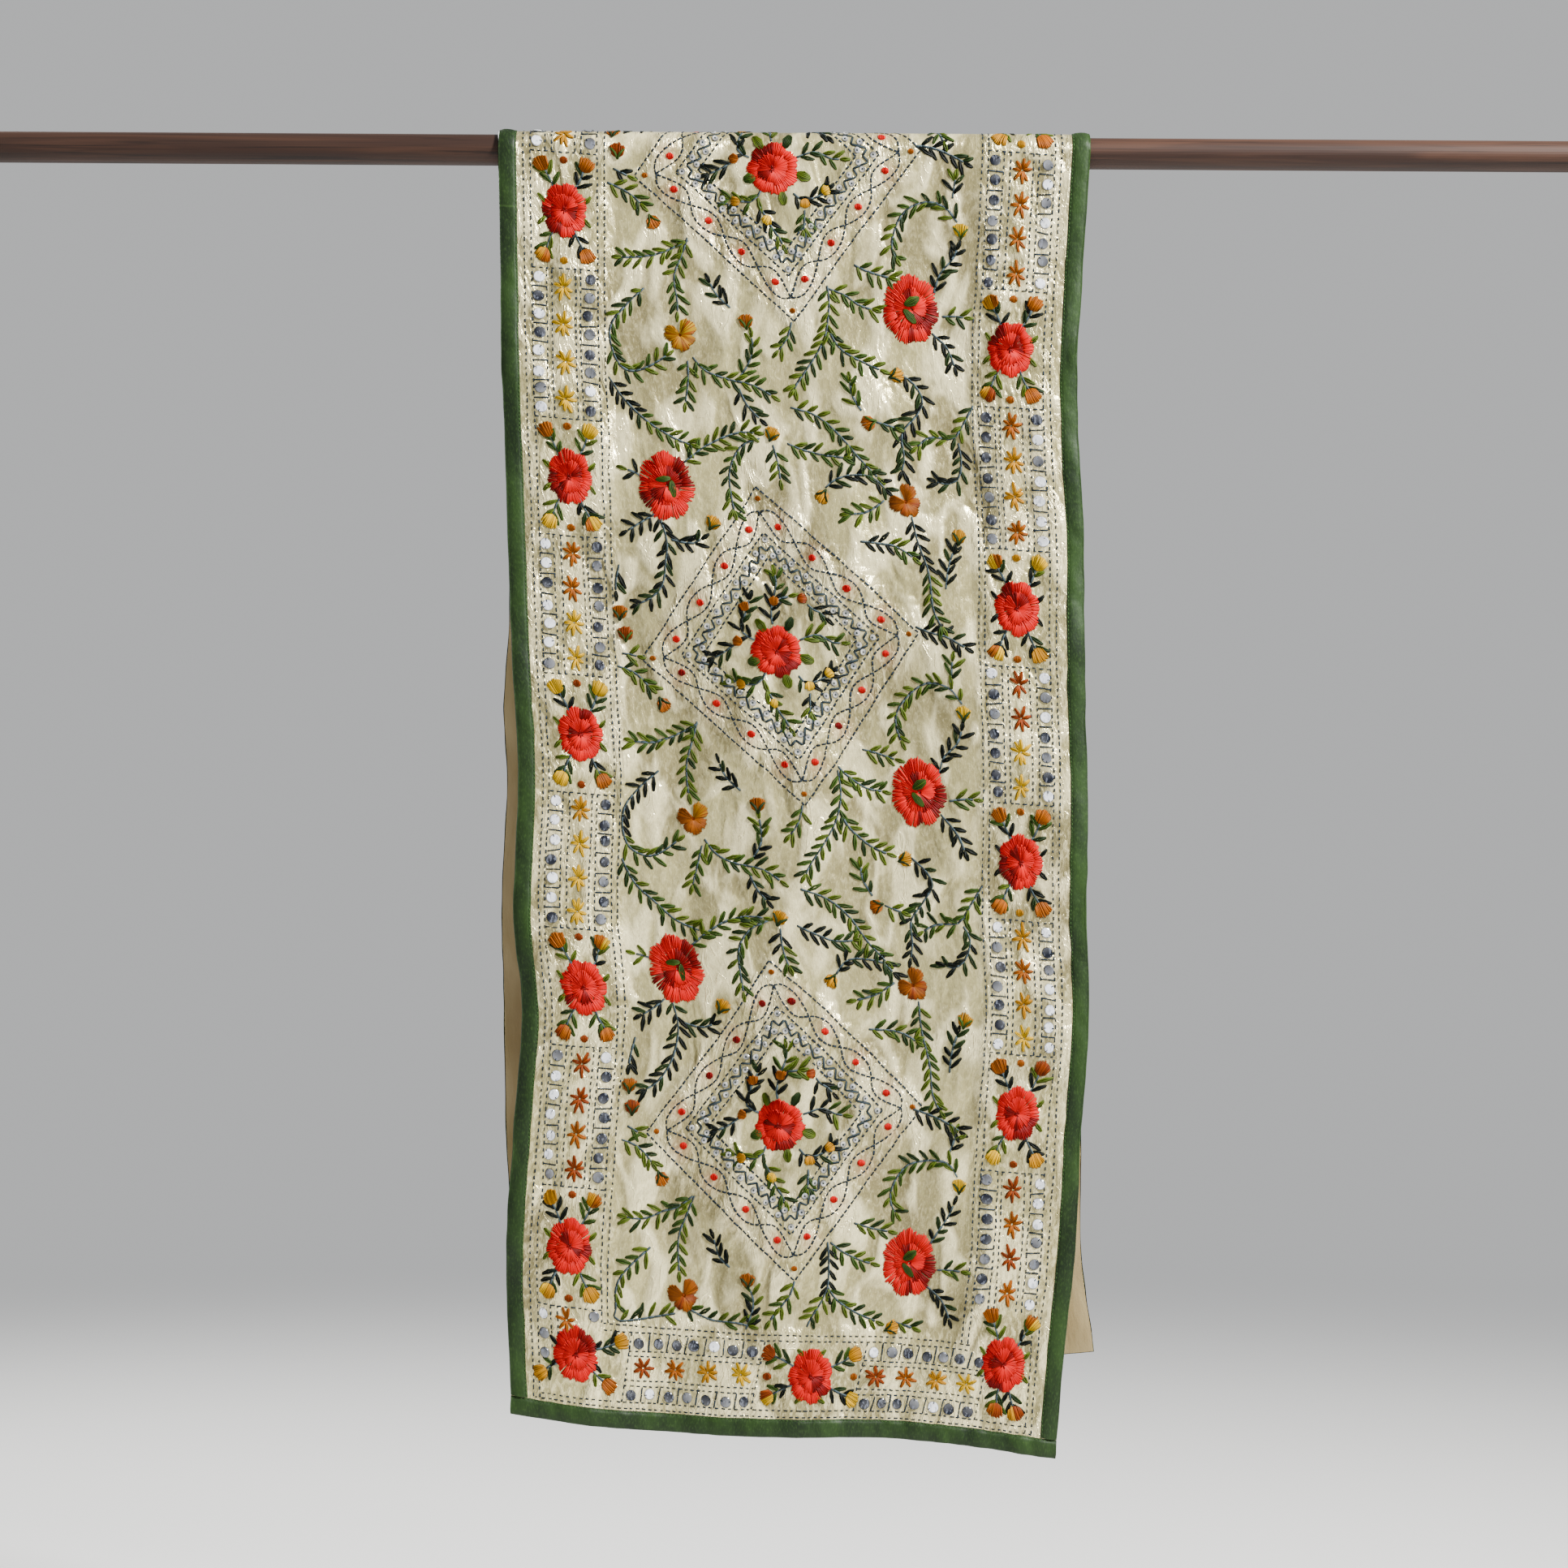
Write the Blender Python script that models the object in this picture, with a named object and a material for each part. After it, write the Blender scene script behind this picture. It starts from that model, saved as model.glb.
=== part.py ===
# An embroidered stole hanging over a plain wooden rod. Metres, +Z up.
# The rod's axis is the X axis, with the origin at its middle. The embroidered face looks along -Y in front of
# the rod, goes over it, and looks along +Y behind it.
import math
from collections import namedtuple

import bmesh
import bpy
from mathutils import Matrix, Vector

for thing in list(bpy.data.objects):
    bpy.data.objects.remove(thing, do_unlink=True)

mm = 0.001

# The rod
rod_radius = 12.5 * mm
rod_length = 1320 * mm
rod_sides = 40
rod_end_chamfer = 1.0 * mm

# The cloth as it was cut
stole_width = 475 * mm
stole_length = 2056 * mm
band_width = 14 * mm
lining_wall = 1.0 * mm
face_wall = 1.0 * mm
band_wall = 1.0 * mm
seam_gap = 0.3 * mm

# How it hangs: the front drop is longer than the back one, and longer on its right side than on its left
front_drop_left = 1014 * mm
front_drop_right = 1047 * mm
front_lean = 9 * mm
back_lean = 6 * mm
longest_drop = 1050 * mm

# How finely the cloth is divided
band_columns = 2
panel_columns = 14
hem_rows = 2
drop_rows = 23
over_rod_rows = 10
normal_step = 1.0 * mm

# The middle of the sheet starts this far from the rod's axis, so that its flat facets clear the round rod
over_radius = rod_radius / math.cos(math.pi / (2 * over_rod_rows)) + seam_gap
over_length = math.pi * over_radius

# Where the cloth's two long edges hang at each drop below the rod's axis, in millimetres from the middle
Edge = namedtuple("Edge", "drop left right")
front_edges = (
    Edge(drop=0, left=-237.3, right=237.0),
    Edge(drop=110, left=-234.6, right=230.5),
    Edge(drop=175, left=-232.9, right=227.1),
    Edge(drop=245, left=-229.8, right=229.1),
    Edge(drop=310, left=-227.4, right=233.1),
    Edge(drop=410, left=-222.9, right=234.0),
    Edge(drop=505, left=-217.4, right=236.9),
    Edge(drop=615, left=-220.1, right=237.4),
    Edge(drop=695, left=-213.0, right=239.7),
    Edge(drop=790, left=-219.2, right=233.8),
    Edge(drop=890, left=-224.5, right=228.9),
    Edge(drop=955, left=-222.1, right=221.8),
    Edge(drop=1050, left=-218.0, right=214.0),
)
back_edges = (
    Edge(drop=0, left=-237.3, right=237.0),
    Edge(drop=110, left=-234.0, right=229.0),
    Edge(drop=245, left=-229.0, right=225.0),
    Edge(drop=380, left=-228.5, right=226.0),
    Edge(drop=450, left=-232.4, right=227.0),
    Edge(drop=505, left=-229.1, right=228.0),
    Edge(drop=600, left=-232.8, right=229.0),
    Edge(drop=700, left=-230.3, right=233.0),
    Edge(drop=790, left=-228.4, right=237.0),
    Edge(drop=895, left=-222.0, right=238.4),
    Edge(drop=970, left=-217.0, right=248.8),
    Edge(drop=1050, left=-214.0, right=250.0),
)

# The soft upright folds, in millimetres. A ridge has a height above 0 and stands away from the other drop, a
# trough one below 0. It runs from one drop to another, and its middle moves from upper to lower on the way.
Fold = namedtuple("Fold", "start end upper lower half_width height")
front_folds = (
    Fold(start=30, end=360, upper=-180, lower=-176, half_width=48, height=5),
    Fold(start=330, end=860, upper=-222, lower=-212, half_width=42, height=4),
    Fold(start=640, end=1200, upper=-172, lower=-166, half_width=58, height=6),
    Fold(start=300, end=1200, upper=-88, lower=-118, half_width=62, height=-8),
    Fold(start=80, end=380, upper=42, lower=46, half_width=60, height=5),
    Fold(start=240, end=1200, upper=-14, lower=22, half_width=80, height=9),
    Fold(start=330, end=1200, upper=62, lower=114, half_width=60, height=-9),
    Fold(start=250, end=1200, upper=108, lower=172, half_width=46, height=6),
    Fold(start=60, end=440, upper=122, lower=172, half_width=32, height=-5),
    Fold(start=90, end=640, upper=204, lower=200, half_width=38, height=5),
)
back_folds = (
    Fold(start=60, end=520, upper=-190, lower=-176, half_width=50, height=4),
    Fold(start=360, end=1200, upper=-150, lower=-168, half_width=60, height=7),
    Fold(start=200, end=1200, upper=-70, lower=-92, half_width=56, height=-6),
    Fold(start=120, end=1200, upper=18, lower=-6, half_width=78, height=8),
    Fold(start=280, end=1200, upper=84, lower=96, half_width=58, height=-6),
    Fold(start=420, end=1200, upper=158, lower=196, half_width=52, height=7),
    Fold(start=80, end=460, upper=150, lower=140, half_width=44, height=5),
)
fold_fade = 140


def ease(share):
    """A soft step: 0 up to share 0, 1 from share 1."""
    share = min(max(share, 0.0), 1.0)
    return share * share * (3 - 2 * share)


def edge_at(edges, drop, side):
    """The edge's place at this drop, in millimetres, on a smooth curve through the rows."""
    last = len(edges) - 2
    k = 0
    while k < last and edges[k + 1].drop < drop:
        k += 1
    around = [edges[max(i, 0)] for i in range(k - 1, k + 2)] + [edges[min(k + 2, last + 1)]]
    drops = [row.drop for row in around]
    places = [getattr(row, side) for row in around]
    span = drops[2] - drops[1]
    slope_in = (places[2] - places[0]) / (drops[2] - drops[0])
    slope_out = (places[3] - places[1]) / (drops[3] - drops[1])
    t = (drop - drops[1]) / span
    return (
        (1 + 2 * t) * (1 - t) ** 2 * places[1]
        + t * (1 - t) ** 2 * span * slope_in
        + t * t * (3 - 2 * t) * places[2]
        + t * t * (t - 1) * span * slope_out
    )


def fold_height(folds, across, drop):
    """How far the folds move the cloth out at this place, in millimetres."""
    height = 0.0
    for fold in folds:
        way = (drop - fold.start) / (fold.end - fold.start)
        middle = fold.upper + (fold.lower - fold.upper) * way
        aside = (across - middle) / fold.half_width
        fade = ease((drop - fold.start) / fold_fade) * ease((fold.end - drop) / fold_fade)
        height += fold.height * fade * math.exp(-aside * aside)
    return height


def front_drop(share):
    """The drop in front of the rod, with share 0 at the left edge and 1 at the right one."""
    return front_drop_left + (front_drop_right - front_drop_left) * share


def cloth_point(share, along):
    """A point of the sheet's inner side: share of its width from the left, metres along it from the front hem."""
    front = front_drop(share)
    drop = max(front - along, along - front - over_length, 0.0)
    is_front = along < front
    edges = front_edges if is_front else back_edges
    left = edge_at(edges, drop / mm, "left") * mm
    right = edge_at(edges, drop / mm, "right") * mm
    x = left + (right - left) * share
    if drop == 0.0:
        angle = (along - front) / over_radius
        return Vector((x, -over_radius * math.cos(angle), over_radius * math.sin(angle)))
    across = (share - 0.5) * stole_width / mm
    lean = (front_lean if is_front else back_lean) * ease(drop / longest_drop)
    folds = front_folds if is_front else back_folds
    out = over_radius + lean + fold_height(folds, across, drop / mm) * mm
    return Vector((x, -out if is_front else out, -drop))


def lifted_point(share, along, lift):
    """The same point moved out of the sheet by lift, square to it."""
    half = normal_step / 2
    half_share = half / stole_width
    over = cloth_point(share + half_share, along) - cloth_point(share - half_share, along)
    up = cloth_point(share, along + half) - cloth_point(share, along - half)
    return cloth_point(share, along) + over.cross(up).normalized() * lift


# The rows across the cloth are numbered by its stretches: 0 to 1 the front hem, 1 to 2 the front drop, 2 to 3
# over the rod, 3 to 4 the back drop, 4 to 5 the back hem
def row_along(row, share):
    front = front_drop(share)
    marks = (0, band_width, front, front + over_length, stole_length - band_width, stole_length)
    stretch = min(int(row), 4)
    return marks[stretch] + (marks[stretch + 1] - marks[stretch]) * (row - stretch)


def spread(low, high, parts):
    return [low + (high - low) * i / parts for i in range(parts)]


all_rows = spread(0, 1, hem_rows) + spread(1, 2, drop_rows) + spread(2, 3, over_rod_rows)
all_rows += spread(3, 4, drop_rows) + spread(4, 5, hem_rows) + [5]
front_hem_rows = all_rows[: hem_rows + 1]
back_hem_rows = all_rows[-hem_rows - 1 :]

band_share = band_width / stole_width
gap_share = seam_gap / stole_width
left_columns = spread(0, band_share, band_columns) + [band_share]
inner_columns = spread(band_share, 1 - band_share, panel_columns) + [1 - band_share]
right_columns = [1 - share for share in reversed(left_columns)]
all_columns = left_columns[:-1] + inner_columns + right_columns[1:]
hem_columns = [band_share + gap_share] + inner_columns[1:-1] + [1 - band_share - gap_share]


def plain_material(name, colour, roughness):
    material = bpy.data.materials.new(name)
    material.use_nodes = True
    shader = material.node_tree.nodes["Principled BSDF"]
    shader.inputs["Base Color"].default_value = (*colour, 1)
    shader.inputs["Roughness"].default_value = roughness
    shader.inputs["Metallic"].default_value = 0
    return material


def add_node(name, bm, material):
    bmesh.ops.recalc_face_normals(bm, faces=bm.faces)
    mesh = bpy.data.meshes.new(name)
    bm.to_mesh(mesh)
    bm.free()
    mesh.materials.append(material)
    mesh.shade_smooth()
    mesh.set_sharp_from_angle(angle=math.radians(40))
    bpy.context.scene.collection.objects.link(bpy.data.objects.new(name, mesh))


def cloth_piece(name, columns, rows, low, high, material):
    """A wall of cloth between two lifts off the sheet's inner side, over these columns and rows."""
    bm = bmesh.new()
    column_of = bm.verts.layers.int.new("column")
    row_of = bm.verts.layers.int.new("row")
    bmesh.ops.create_grid(bm, x_segments=len(columns) - 1, y_segments=len(rows) - 1, size=0.5)
    for vert in bm.verts:
        vert[column_of] = round((vert.co.x + 0.5) * (len(columns) - 1))
        vert[row_of] = round((vert.co.y + 0.5) * (len(rows) - 1))
    # Every layer is split along the same diagonals, so that the gaps between them stay even
    bmesh.ops.triangulate(bm, faces=bm.faces, quad_method="FIXED")

    def place(verts, lift):
        for vert in verts:
            share = columns[vert[column_of]]
            vert.co = lifted_point(share, row_along(rows[vert[row_of]], share), lift)

    place(bm.verts, low)
    wall = bmesh.ops.extrude_face_region(bm, geom=bm.faces[:])
    place([item for item in wall["geom"] if isinstance(item, bmesh.types.BMVert)], high)
    add_node(name, bm, material)


def build_rod():
    walnut = plain_material("walnut", (0.115, 0.050, 0.030), 0.4)
    bm = bmesh.new()
    bmesh.ops.create_cone(
        bm, cap_ends=True, segments=rod_sides, radius1=rod_radius, radius2=rod_radius, depth=rod_length
    )
    rims = [edge for edge in bm.edges if abs(edge.verts[0].co.z - edge.verts[1].co.z) < mm]
    bmesh.ops.bevel(
        bm, geom=rims, offset=rod_end_chamfer, affect="EDGES", segments=1, profile=0.5, material=-1
    )
    bmesh.ops.rotate(bm, verts=bm.verts, matrix=Matrix.Rotation(math.pi / 2, 3, "Y"))
    add_node("rod", bm, walnut)


def build_stole():
    lining_cloth = plain_material("lining", (0.46, 0.40, 0.27), 0.45)
    face_cloth = plain_material("tissue_silk", (0.67, 0.61, 0.45), 0.4)
    band_cloth = plain_material("green_satin", (0.045, 0.11, 0.035), 0.35)

    face_low = lining_wall + seam_gap
    face_high = face_low + face_wall
    band_low = face_high + seam_gap
    band_high = band_low + band_wall
    cloth_piece("lining", all_columns, all_rows, 0.0, lining_wall, lining_cloth)
    cloth_piece("face_panel", all_columns, all_rows, face_low, face_high, face_cloth)
    cloth_piece("band_left", left_columns, all_rows, band_low, band_high, band_cloth)
    cloth_piece("band_right", right_columns, all_rows, band_low, band_high, band_cloth)
    cloth_piece("band_front_hem", hem_columns, front_hem_rows, band_low, band_high, band_cloth)
    cloth_piece("band_back_hem", hem_columns, back_hem_rows, band_low, band_high, band_cloth)


build_rod()
build_stole()
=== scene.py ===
import math

import bmesh
import bpy
import numpy as np
from mathutils import Matrix


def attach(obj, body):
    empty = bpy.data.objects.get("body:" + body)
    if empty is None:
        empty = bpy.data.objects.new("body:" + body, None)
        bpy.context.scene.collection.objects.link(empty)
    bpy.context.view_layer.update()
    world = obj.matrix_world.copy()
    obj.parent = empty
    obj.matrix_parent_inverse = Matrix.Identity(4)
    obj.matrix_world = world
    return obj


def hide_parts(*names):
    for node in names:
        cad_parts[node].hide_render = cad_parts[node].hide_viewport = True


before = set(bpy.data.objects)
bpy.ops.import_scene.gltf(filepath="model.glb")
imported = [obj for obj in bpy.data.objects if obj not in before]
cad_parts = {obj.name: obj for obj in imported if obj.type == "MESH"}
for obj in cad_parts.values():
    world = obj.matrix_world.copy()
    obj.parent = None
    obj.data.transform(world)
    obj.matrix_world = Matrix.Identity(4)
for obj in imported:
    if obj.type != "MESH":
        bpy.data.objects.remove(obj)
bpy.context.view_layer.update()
mm = 0.001
draw = np.random.default_rng(41)


def tone(red, green, blue):
    # a colour as seen on a screen, 0 to 255, as the linear values that Blender works in
    seen = np.array((red, green, blue)) / 255
    return np.where(seen <= 0.04045, seen / 12.92, ((seen + 0.055) / 1.055) ** 2.4)


# shader helpers
class Wire:
    # a node's output, on which Python's operators add Math nodes
    def __init__(self, finish, socket):
        self.finish = finish
        self.socket = socket

    def maths(self, operation, first, second):
        return self.finish.node("Math", {"operation": operation}, {0: first, 1: second})

    def __add__(self, other):
        return self.maths("ADD", self, other)

    def __sub__(self, other):
        return self.maths("SUBTRACT", self, other)

    def __rsub__(self, other):
        return self.maths("SUBTRACT", other, self)

    def __mul__(self, other):
        return self.maths("MULTIPLY", self, other)


class Finish:
    # one material: its node tree, its Principled shader and the nodes that feed it
    def __init__(self, name):
        self.material = bpy.data.materials.new(name)
        self.material.use_nodes = True
        self.tree = self.material.node_tree
        self.shader = self.tree.nodes["Principled BSDF"]

    def feed(self, socket, value):
        if isinstance(value, Wire):
            self.tree.links.new(value.socket, socket)
        elif socket.type == "RGBA":
            socket.default_value = (*value[:3], 1)
        else:
            socket.default_value = value

    def node(self, kind, settings=None, values=None, output=0):
        made = self.tree.nodes.new("ShaderNode" + kind)
        for key, value in (settings or {}).items():
            setattr(made, key, value)
        for key, value in (values or {}).items():
            self.feed(made.inputs[key], value)
        return Wire(self, made.outputs[output])

    def mix(self, share, first, second):
        return self.node("Mix", {"data_type": "RGBA"}, {0: share, 6: first, 7: second}, output=2)

    def noise(self, place, grain, detail=4, roughness=0.55, distortion=0.0):
        # grain is the number of lumps to the metre along each axis
        stretched = self.node("Mapping", None, {"Vector": place, "Scale": grain})
        values = {"Vector": stretched, "Scale": 1.0, "Detail": detail}
        values.update({"Roughness": roughness, "Distortion": distortion})
        return self.node("TexNoise", None, values)

    def attribute(self, name, output=2):
        # output 2 is a plain number and output 0 a colour
        return self.node("Attribute", {"attribute_name": name}, output=output)

    def flatCloth(self):
        return self.node("UVMap", {"uv_map": "flatCloth"})

    def distance(self, value):
        # how far a value is from 0, either way
        return self.node("Math", {"operation": "ABSOLUTE"}, {0: value})

    def bump(self, height, strength, relief):
        return self.node("Bump", None, {"Height": height, "Strength": strength, "Distance": relief})

    def between(self, value, low, high):
        # 0 at low and 1 at high, softly
        settings = {"interpolation_type": "SMOOTHSTEP"}
        return self.node("MapRange", settings, {"Value": value, "From Min": low, "From Max": high})

    def surface(self, **values):
        for key, value in values.items():
            self.feed(self.shader.inputs[key.replace("_", " ")], value)
        return self.material


# the cloth's form
cloth = {
    "width": 475.0,
    "length": 2056.0,
    "rodRadius": 12.5,
    "rodClearance": 0.456,
    "frontLeft": 1014.0,
    "frontRight": 1047.0,
    "frontLean": 9.0,
    "backLean": 6.0,
    "longestDrop": 1050.0,
    "foldFade": 140.0,
    "smallFade": 90.0,
    "hemSwing": 5.0,
    "hemSwingBehind": -0.8,
    "hemSwingFade": 260.0,
    "liningLift": (0.1, 0.7),
    "faceLift": (1.6, 2.3),
    "sampleStep": 2.0,
}
overRadius = cloth["rodRadius"] + cloth["rodClearance"]
overLength = math.pi * overRadius
faceTop = cloth["faceLift"][1]

# rows down each drop: how far below the rod's axis, left edge and right edge, in millimetres
frontEdges = np.array((
    (0, -237.3, 237.0), (110, -234.6, 230.5), (175, -232.9, 227.1), (245, -229.8, 229.1),
    (310, -227.4, 233.1), (410, -222.9, 234.0), (505, -217.4, 236.9), (615, -220.1, 237.4),
    (695, -213.0, 239.7), (790, -219.2, 233.8), (890, -224.5, 228.9), (955, -222.1, 221.8),
    (1050, -218.0, 214.0),
))
backEdges = np.array((
    (0, -237.3, 237.0), (110, -234.0, 229.0), (245, -229.0, 225.0), (380, -228.5, 226.0),
    (450, -232.4, 227.0), (505, -229.1, 228.0), (600, -232.8, 229.0), (700, -230.3, 233.0),
    (790, -228.4, 237.0), (895, -222.0, 238.4), (970, -217.0, 248.8), (1050, -214.0, 250.0),
))

# upright folds: start and end drop, place across at the top and at the bottom, half width, height
frontFolds = (
    (30, 360, -180, -176, 48, 5), (330, 860, -222, -212, 42, 4), (640, 1200, -172, -166, 58, 6),
    (300, 1200, -88, -118, 62, -7), (80, 380, 42, 46, 60, 5), (240, 1200, -14, 22, 80, 9),
    (330, 1200, 62, 114, 60, -9), (250, 1200, 108, 172, 46, 6), (60, 440, 122, 172, 32, -5),
    (90, 640, 204, 200, 38, 5),
)
backFolds = (
    (60, 520, -190, -176, 50, 4), (360, 1200, -150, -168, 60, 7), (200, 1200, -70, -92, 56, -5),
    (120, 1200, 18, -6, 78, 8), (280, 1200, 84, 96, 58, -6), (420, 1200, 158, 196, 52, 7),
    (80, 460, 150, 140, 44, 5),
)

# small creases, listed one by one: place across, place along, length, width, height, lean
creases = (
    (124, 967, 60, 14, -2.5, 0.1), (194, 770, 200, 16, -3, -0.05), (-91, 785, 60, 14, -2, 0.1),
    (-149, 795, 60, 12, -2, 0), (-37, 758, 80, 20, -2.5, 0.15), (-20, 586, 110, 18, -3, 0.1),
    (-69, 529, 90, 24, -3, -0.1), (-92, 420, 120, 22, -3, 0.1), (-29, 261, 120, 20, -3, -0.1),
    (111, 575, 110, 16, -2.5, -0.1), (84, 472, 90, 16, -2, 0.1), (138, 167, 220, 40, -4, 0.05),
    (-208, 175, 140, 14, -3, 0), (-198, 881, 240, 12, -3, 0), (60, 905, 90, 16, -2, 0.1),
    (150, 640, 120, 14, -2, -0.1), (-120, 1290, 120, 20, -3, 0.1), (-30, 1360, 150, 20, -3, -0.1),
    (90, 1450, 120, 18, -2.5, 0.1), (-160, 1520, 140, 16, -3, 0), (30, 1600, 110, 22, -3, -0.1),
    (120, 1720, 160, 20, -3, 0.05), (-80, 1780, 120, 18, -2.5, 0.1), (190, 1880, 180, 16, -3, 0),
    (-190, 1860, 160, 14, -3, 0), (10, 1940, 120, 20, -3, 0.1),
)
pressedCrease = {"along": 248.0, "from": 50.0, "to": 225.0, "fade": 30.0, "width": 3.0, "height": 0.7}
rippled = {
    "waves": 34,
    "shortest": 13.0,
    "growth": 1.075,
    "turn": 0.5,
    "height": 0.017,
    "power": 0.75,
    "evenness": 0.65,
}


def ease(share):
    share = np.clip(share, 0, 1)
    return share * share * (3 - 2 * share)


def edgeAt(edges, drop, side):
    # the edge's place at each drop, on a smooth curve through the rows
    last = len(edges) - 1
    k = np.minimum(np.searchsorted(edges[1:, 0], drop, side="left"), last - 1)
    rows = [np.maximum(k - 1, 0), k, k + 1, np.minimum(k + 2, last)]
    drops = [edges[row, 0] for row in rows]
    places = [edges[row, side] for row in rows]
    span = drops[2] - drops[1]
    slopeIn = (places[2] - places[0]) / (drops[2] - drops[0])
    slopeOut = (places[3] - places[1]) / (drops[3] - drops[1])
    t = (drop - drops[1]) / span
    value = (1 + 2 * t) * (1 - t) ** 2 * places[1] + t * (1 - t) ** 2 * span * slopeIn
    return value + t * t * (3 - 2 * t) * places[2] + t * t * (t - 1) * span * slopeOut


def foldHeight(folds, across, drop):
    height = np.zeros_like(across)
    for start, end, upper, lower, halfWidth, peak in folds:
        middle = upper + (lower - upper) * (drop - start) / (end - start)
        fade = ease((drop - start) / cloth["foldFade"]) * ease((end - drop) / cloth["foldFade"])
        height += peak * fade * np.exp(-(((across - middle) / halfWidth) ** 2))
    return height


def creaseHeight(p, q):
    height = np.zeros_like(p)
    for across, along, length, width, peak, lean in creases:
        aside = (p - across - lean * (q - along)) / (width / 2)
        away = (q - along) / (length / 2)
        height += peak * np.exp(-aside * aside - away * away)
    mark = pressedCrease
    run = ease((p - mark["from"]) / mark["fade"]) * ease((mark["to"] - p) / mark["fade"])
    height -= mark["height"] * run * np.exp(-(((q - mark["along"]) / mark["width"]) ** 2))
    return height


def ripples(p, q):
    # the light unevenness of sewn cloth, as waves of many lengths, stronger in some places than others
    waves = np.random.default_rng(5)
    height = np.zeros_like(p)
    for k in range(rippled["waves"]):
        wave = rippled["shortest"] * rippled["growth"] ** k
        turn = waves.normal(0, rippled["turn"])
        phase = waves.uniform(0, 2 * math.pi)
        push = wave ** rippled["power"] * rippled["height"]
        height += push * np.sin(2 * math.pi * (p * math.cos(turn) + q * math.sin(turn)) / wave + phase)
    patch = np.sin(p / 47 + q / 83 + 1.0) * np.sin(q / 61 - p / 95)
    return height * (rippled["evenness"] + (1 - rippled["evenness"]) * patch)


def frontDrop(share):
    return cloth["frontLeft"] + (cloth["frontRight"] - cloth["frontLeft"]) * share


def formPoints(p, q):
    # the sheet's inner side in millimetres, for places across from the middle and along from the front hem
    share = p / cloth["width"] + 0.5
    front = frontDrop(share)
    drop = np.maximum(np.maximum(front - q, q - front - overLength), 0)
    isFront = q < front + overLength / 2
    left = np.where(isFront, edgeAt(frontEdges, drop, 1), edgeAt(backEdges, drop, 1))
    right = np.where(isFront, edgeAt(frontEdges, drop, 2), edgeAt(backEdges, drop, 2))
    x = left + (right - left) * share
    lean = np.where(isFront, cloth["frontLean"], cloth["backLean"]) * ease(drop / cloth["longestDrop"])
    folds = np.where(isFront, foldHeight(frontFolds, p, drop), foldHeight(backFolds, p, drop))
    small = (creaseHeight(p, q) + ripples(p, q)) * ease(drop / cloth["smallFade"])
    out = overRadius + lean + folds + small
    angle = np.clip((q - front) / overRadius, 0, math.pi)
    onRod = drop == 0
    y = np.where(onRod, -overRadius * np.cos(angle), np.where(isFront, -out, out))
    fade = ease(1 - np.where(isFront, q, cloth["length"] - q) / cloth["hemSwingFade"])
    way = np.where(isFront, 1, cloth["hemSwingBehind"])
    swing = cloth["hemSwing"] * np.sin(2 * math.pi * share) * fade * way
    z = np.where(onRod, overRadius * np.sin(angle), -drop - swing)
    return np.stack((x, y, z), axis=-1)


def makeSurface():
    step = cloth["sampleStep"]
    acrossCount = round(cloth["width"] / step) + 1
    alongCount = round(cloth["length"] / step) + 1
    p = np.linspace(-cloth["width"] / 2, cloth["width"] / 2, acrossCount)
    q = np.linspace(0, cloth["length"], alongCount)
    grid = np.meshgrid(p, q)
    points = formPoints(*grid)
    normals = np.cross(np.gradient(points, axis=1), np.gradient(points, axis=0))
    normals /= np.linalg.norm(normals, axis=-1, keepdims=True)
    return points, normals


surfacePoints, surfaceNormals = makeSurface()


def onCloth(p, q, lift):
    # places on the cloth, lifted square off its inner side; everything in millimetres, metres come back
    rows, columns = surfacePoints.shape[:2]
    u = (np.asarray(p) / cloth["width"] + 0.5) * (columns - 1)
    v = np.asarray(q) / cloth["length"] * (rows - 1)
    i = np.clip(np.floor(u).astype(int), 0, columns - 2)
    j = np.clip(np.floor(v).astype(int), 0, rows - 2)
    a = (u - i)[..., None]
    b = (v - j)[..., None]

    def blended(grid):
        near = grid[j, i] * (1 - a) + grid[j, i + 1] * a
        far = grid[j + 1, i] * (1 - a) + grid[j + 1, i + 1] * a
        return near * (1 - b) + far * b

    return (blended(surfacePoints) + blended(surfaceNormals) * np.asarray(lift)[..., None]) * mm


def alongRows(share, row, ends):
    # the place along the cloth of each numbered row: 0 to 1 in front, 1 to 2 over the rod, 2 to 3 behind
    front = frontDrop(share)
    first = ends[0] + (front - ends[0]) * row
    over = front + overLength * (row - 1)
    back = front + overLength + (ends[1] - front - overLength) * (row - 2)
    return np.where(row < 1, first, np.where(row < 2, over, back))


def intoScene(name, data):
    # an object of its own for a mesh, a light or a camera
    made = bpy.data.objects.new(name, data)
    bpy.context.scene.collection.objects.link(made)
    return made


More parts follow.
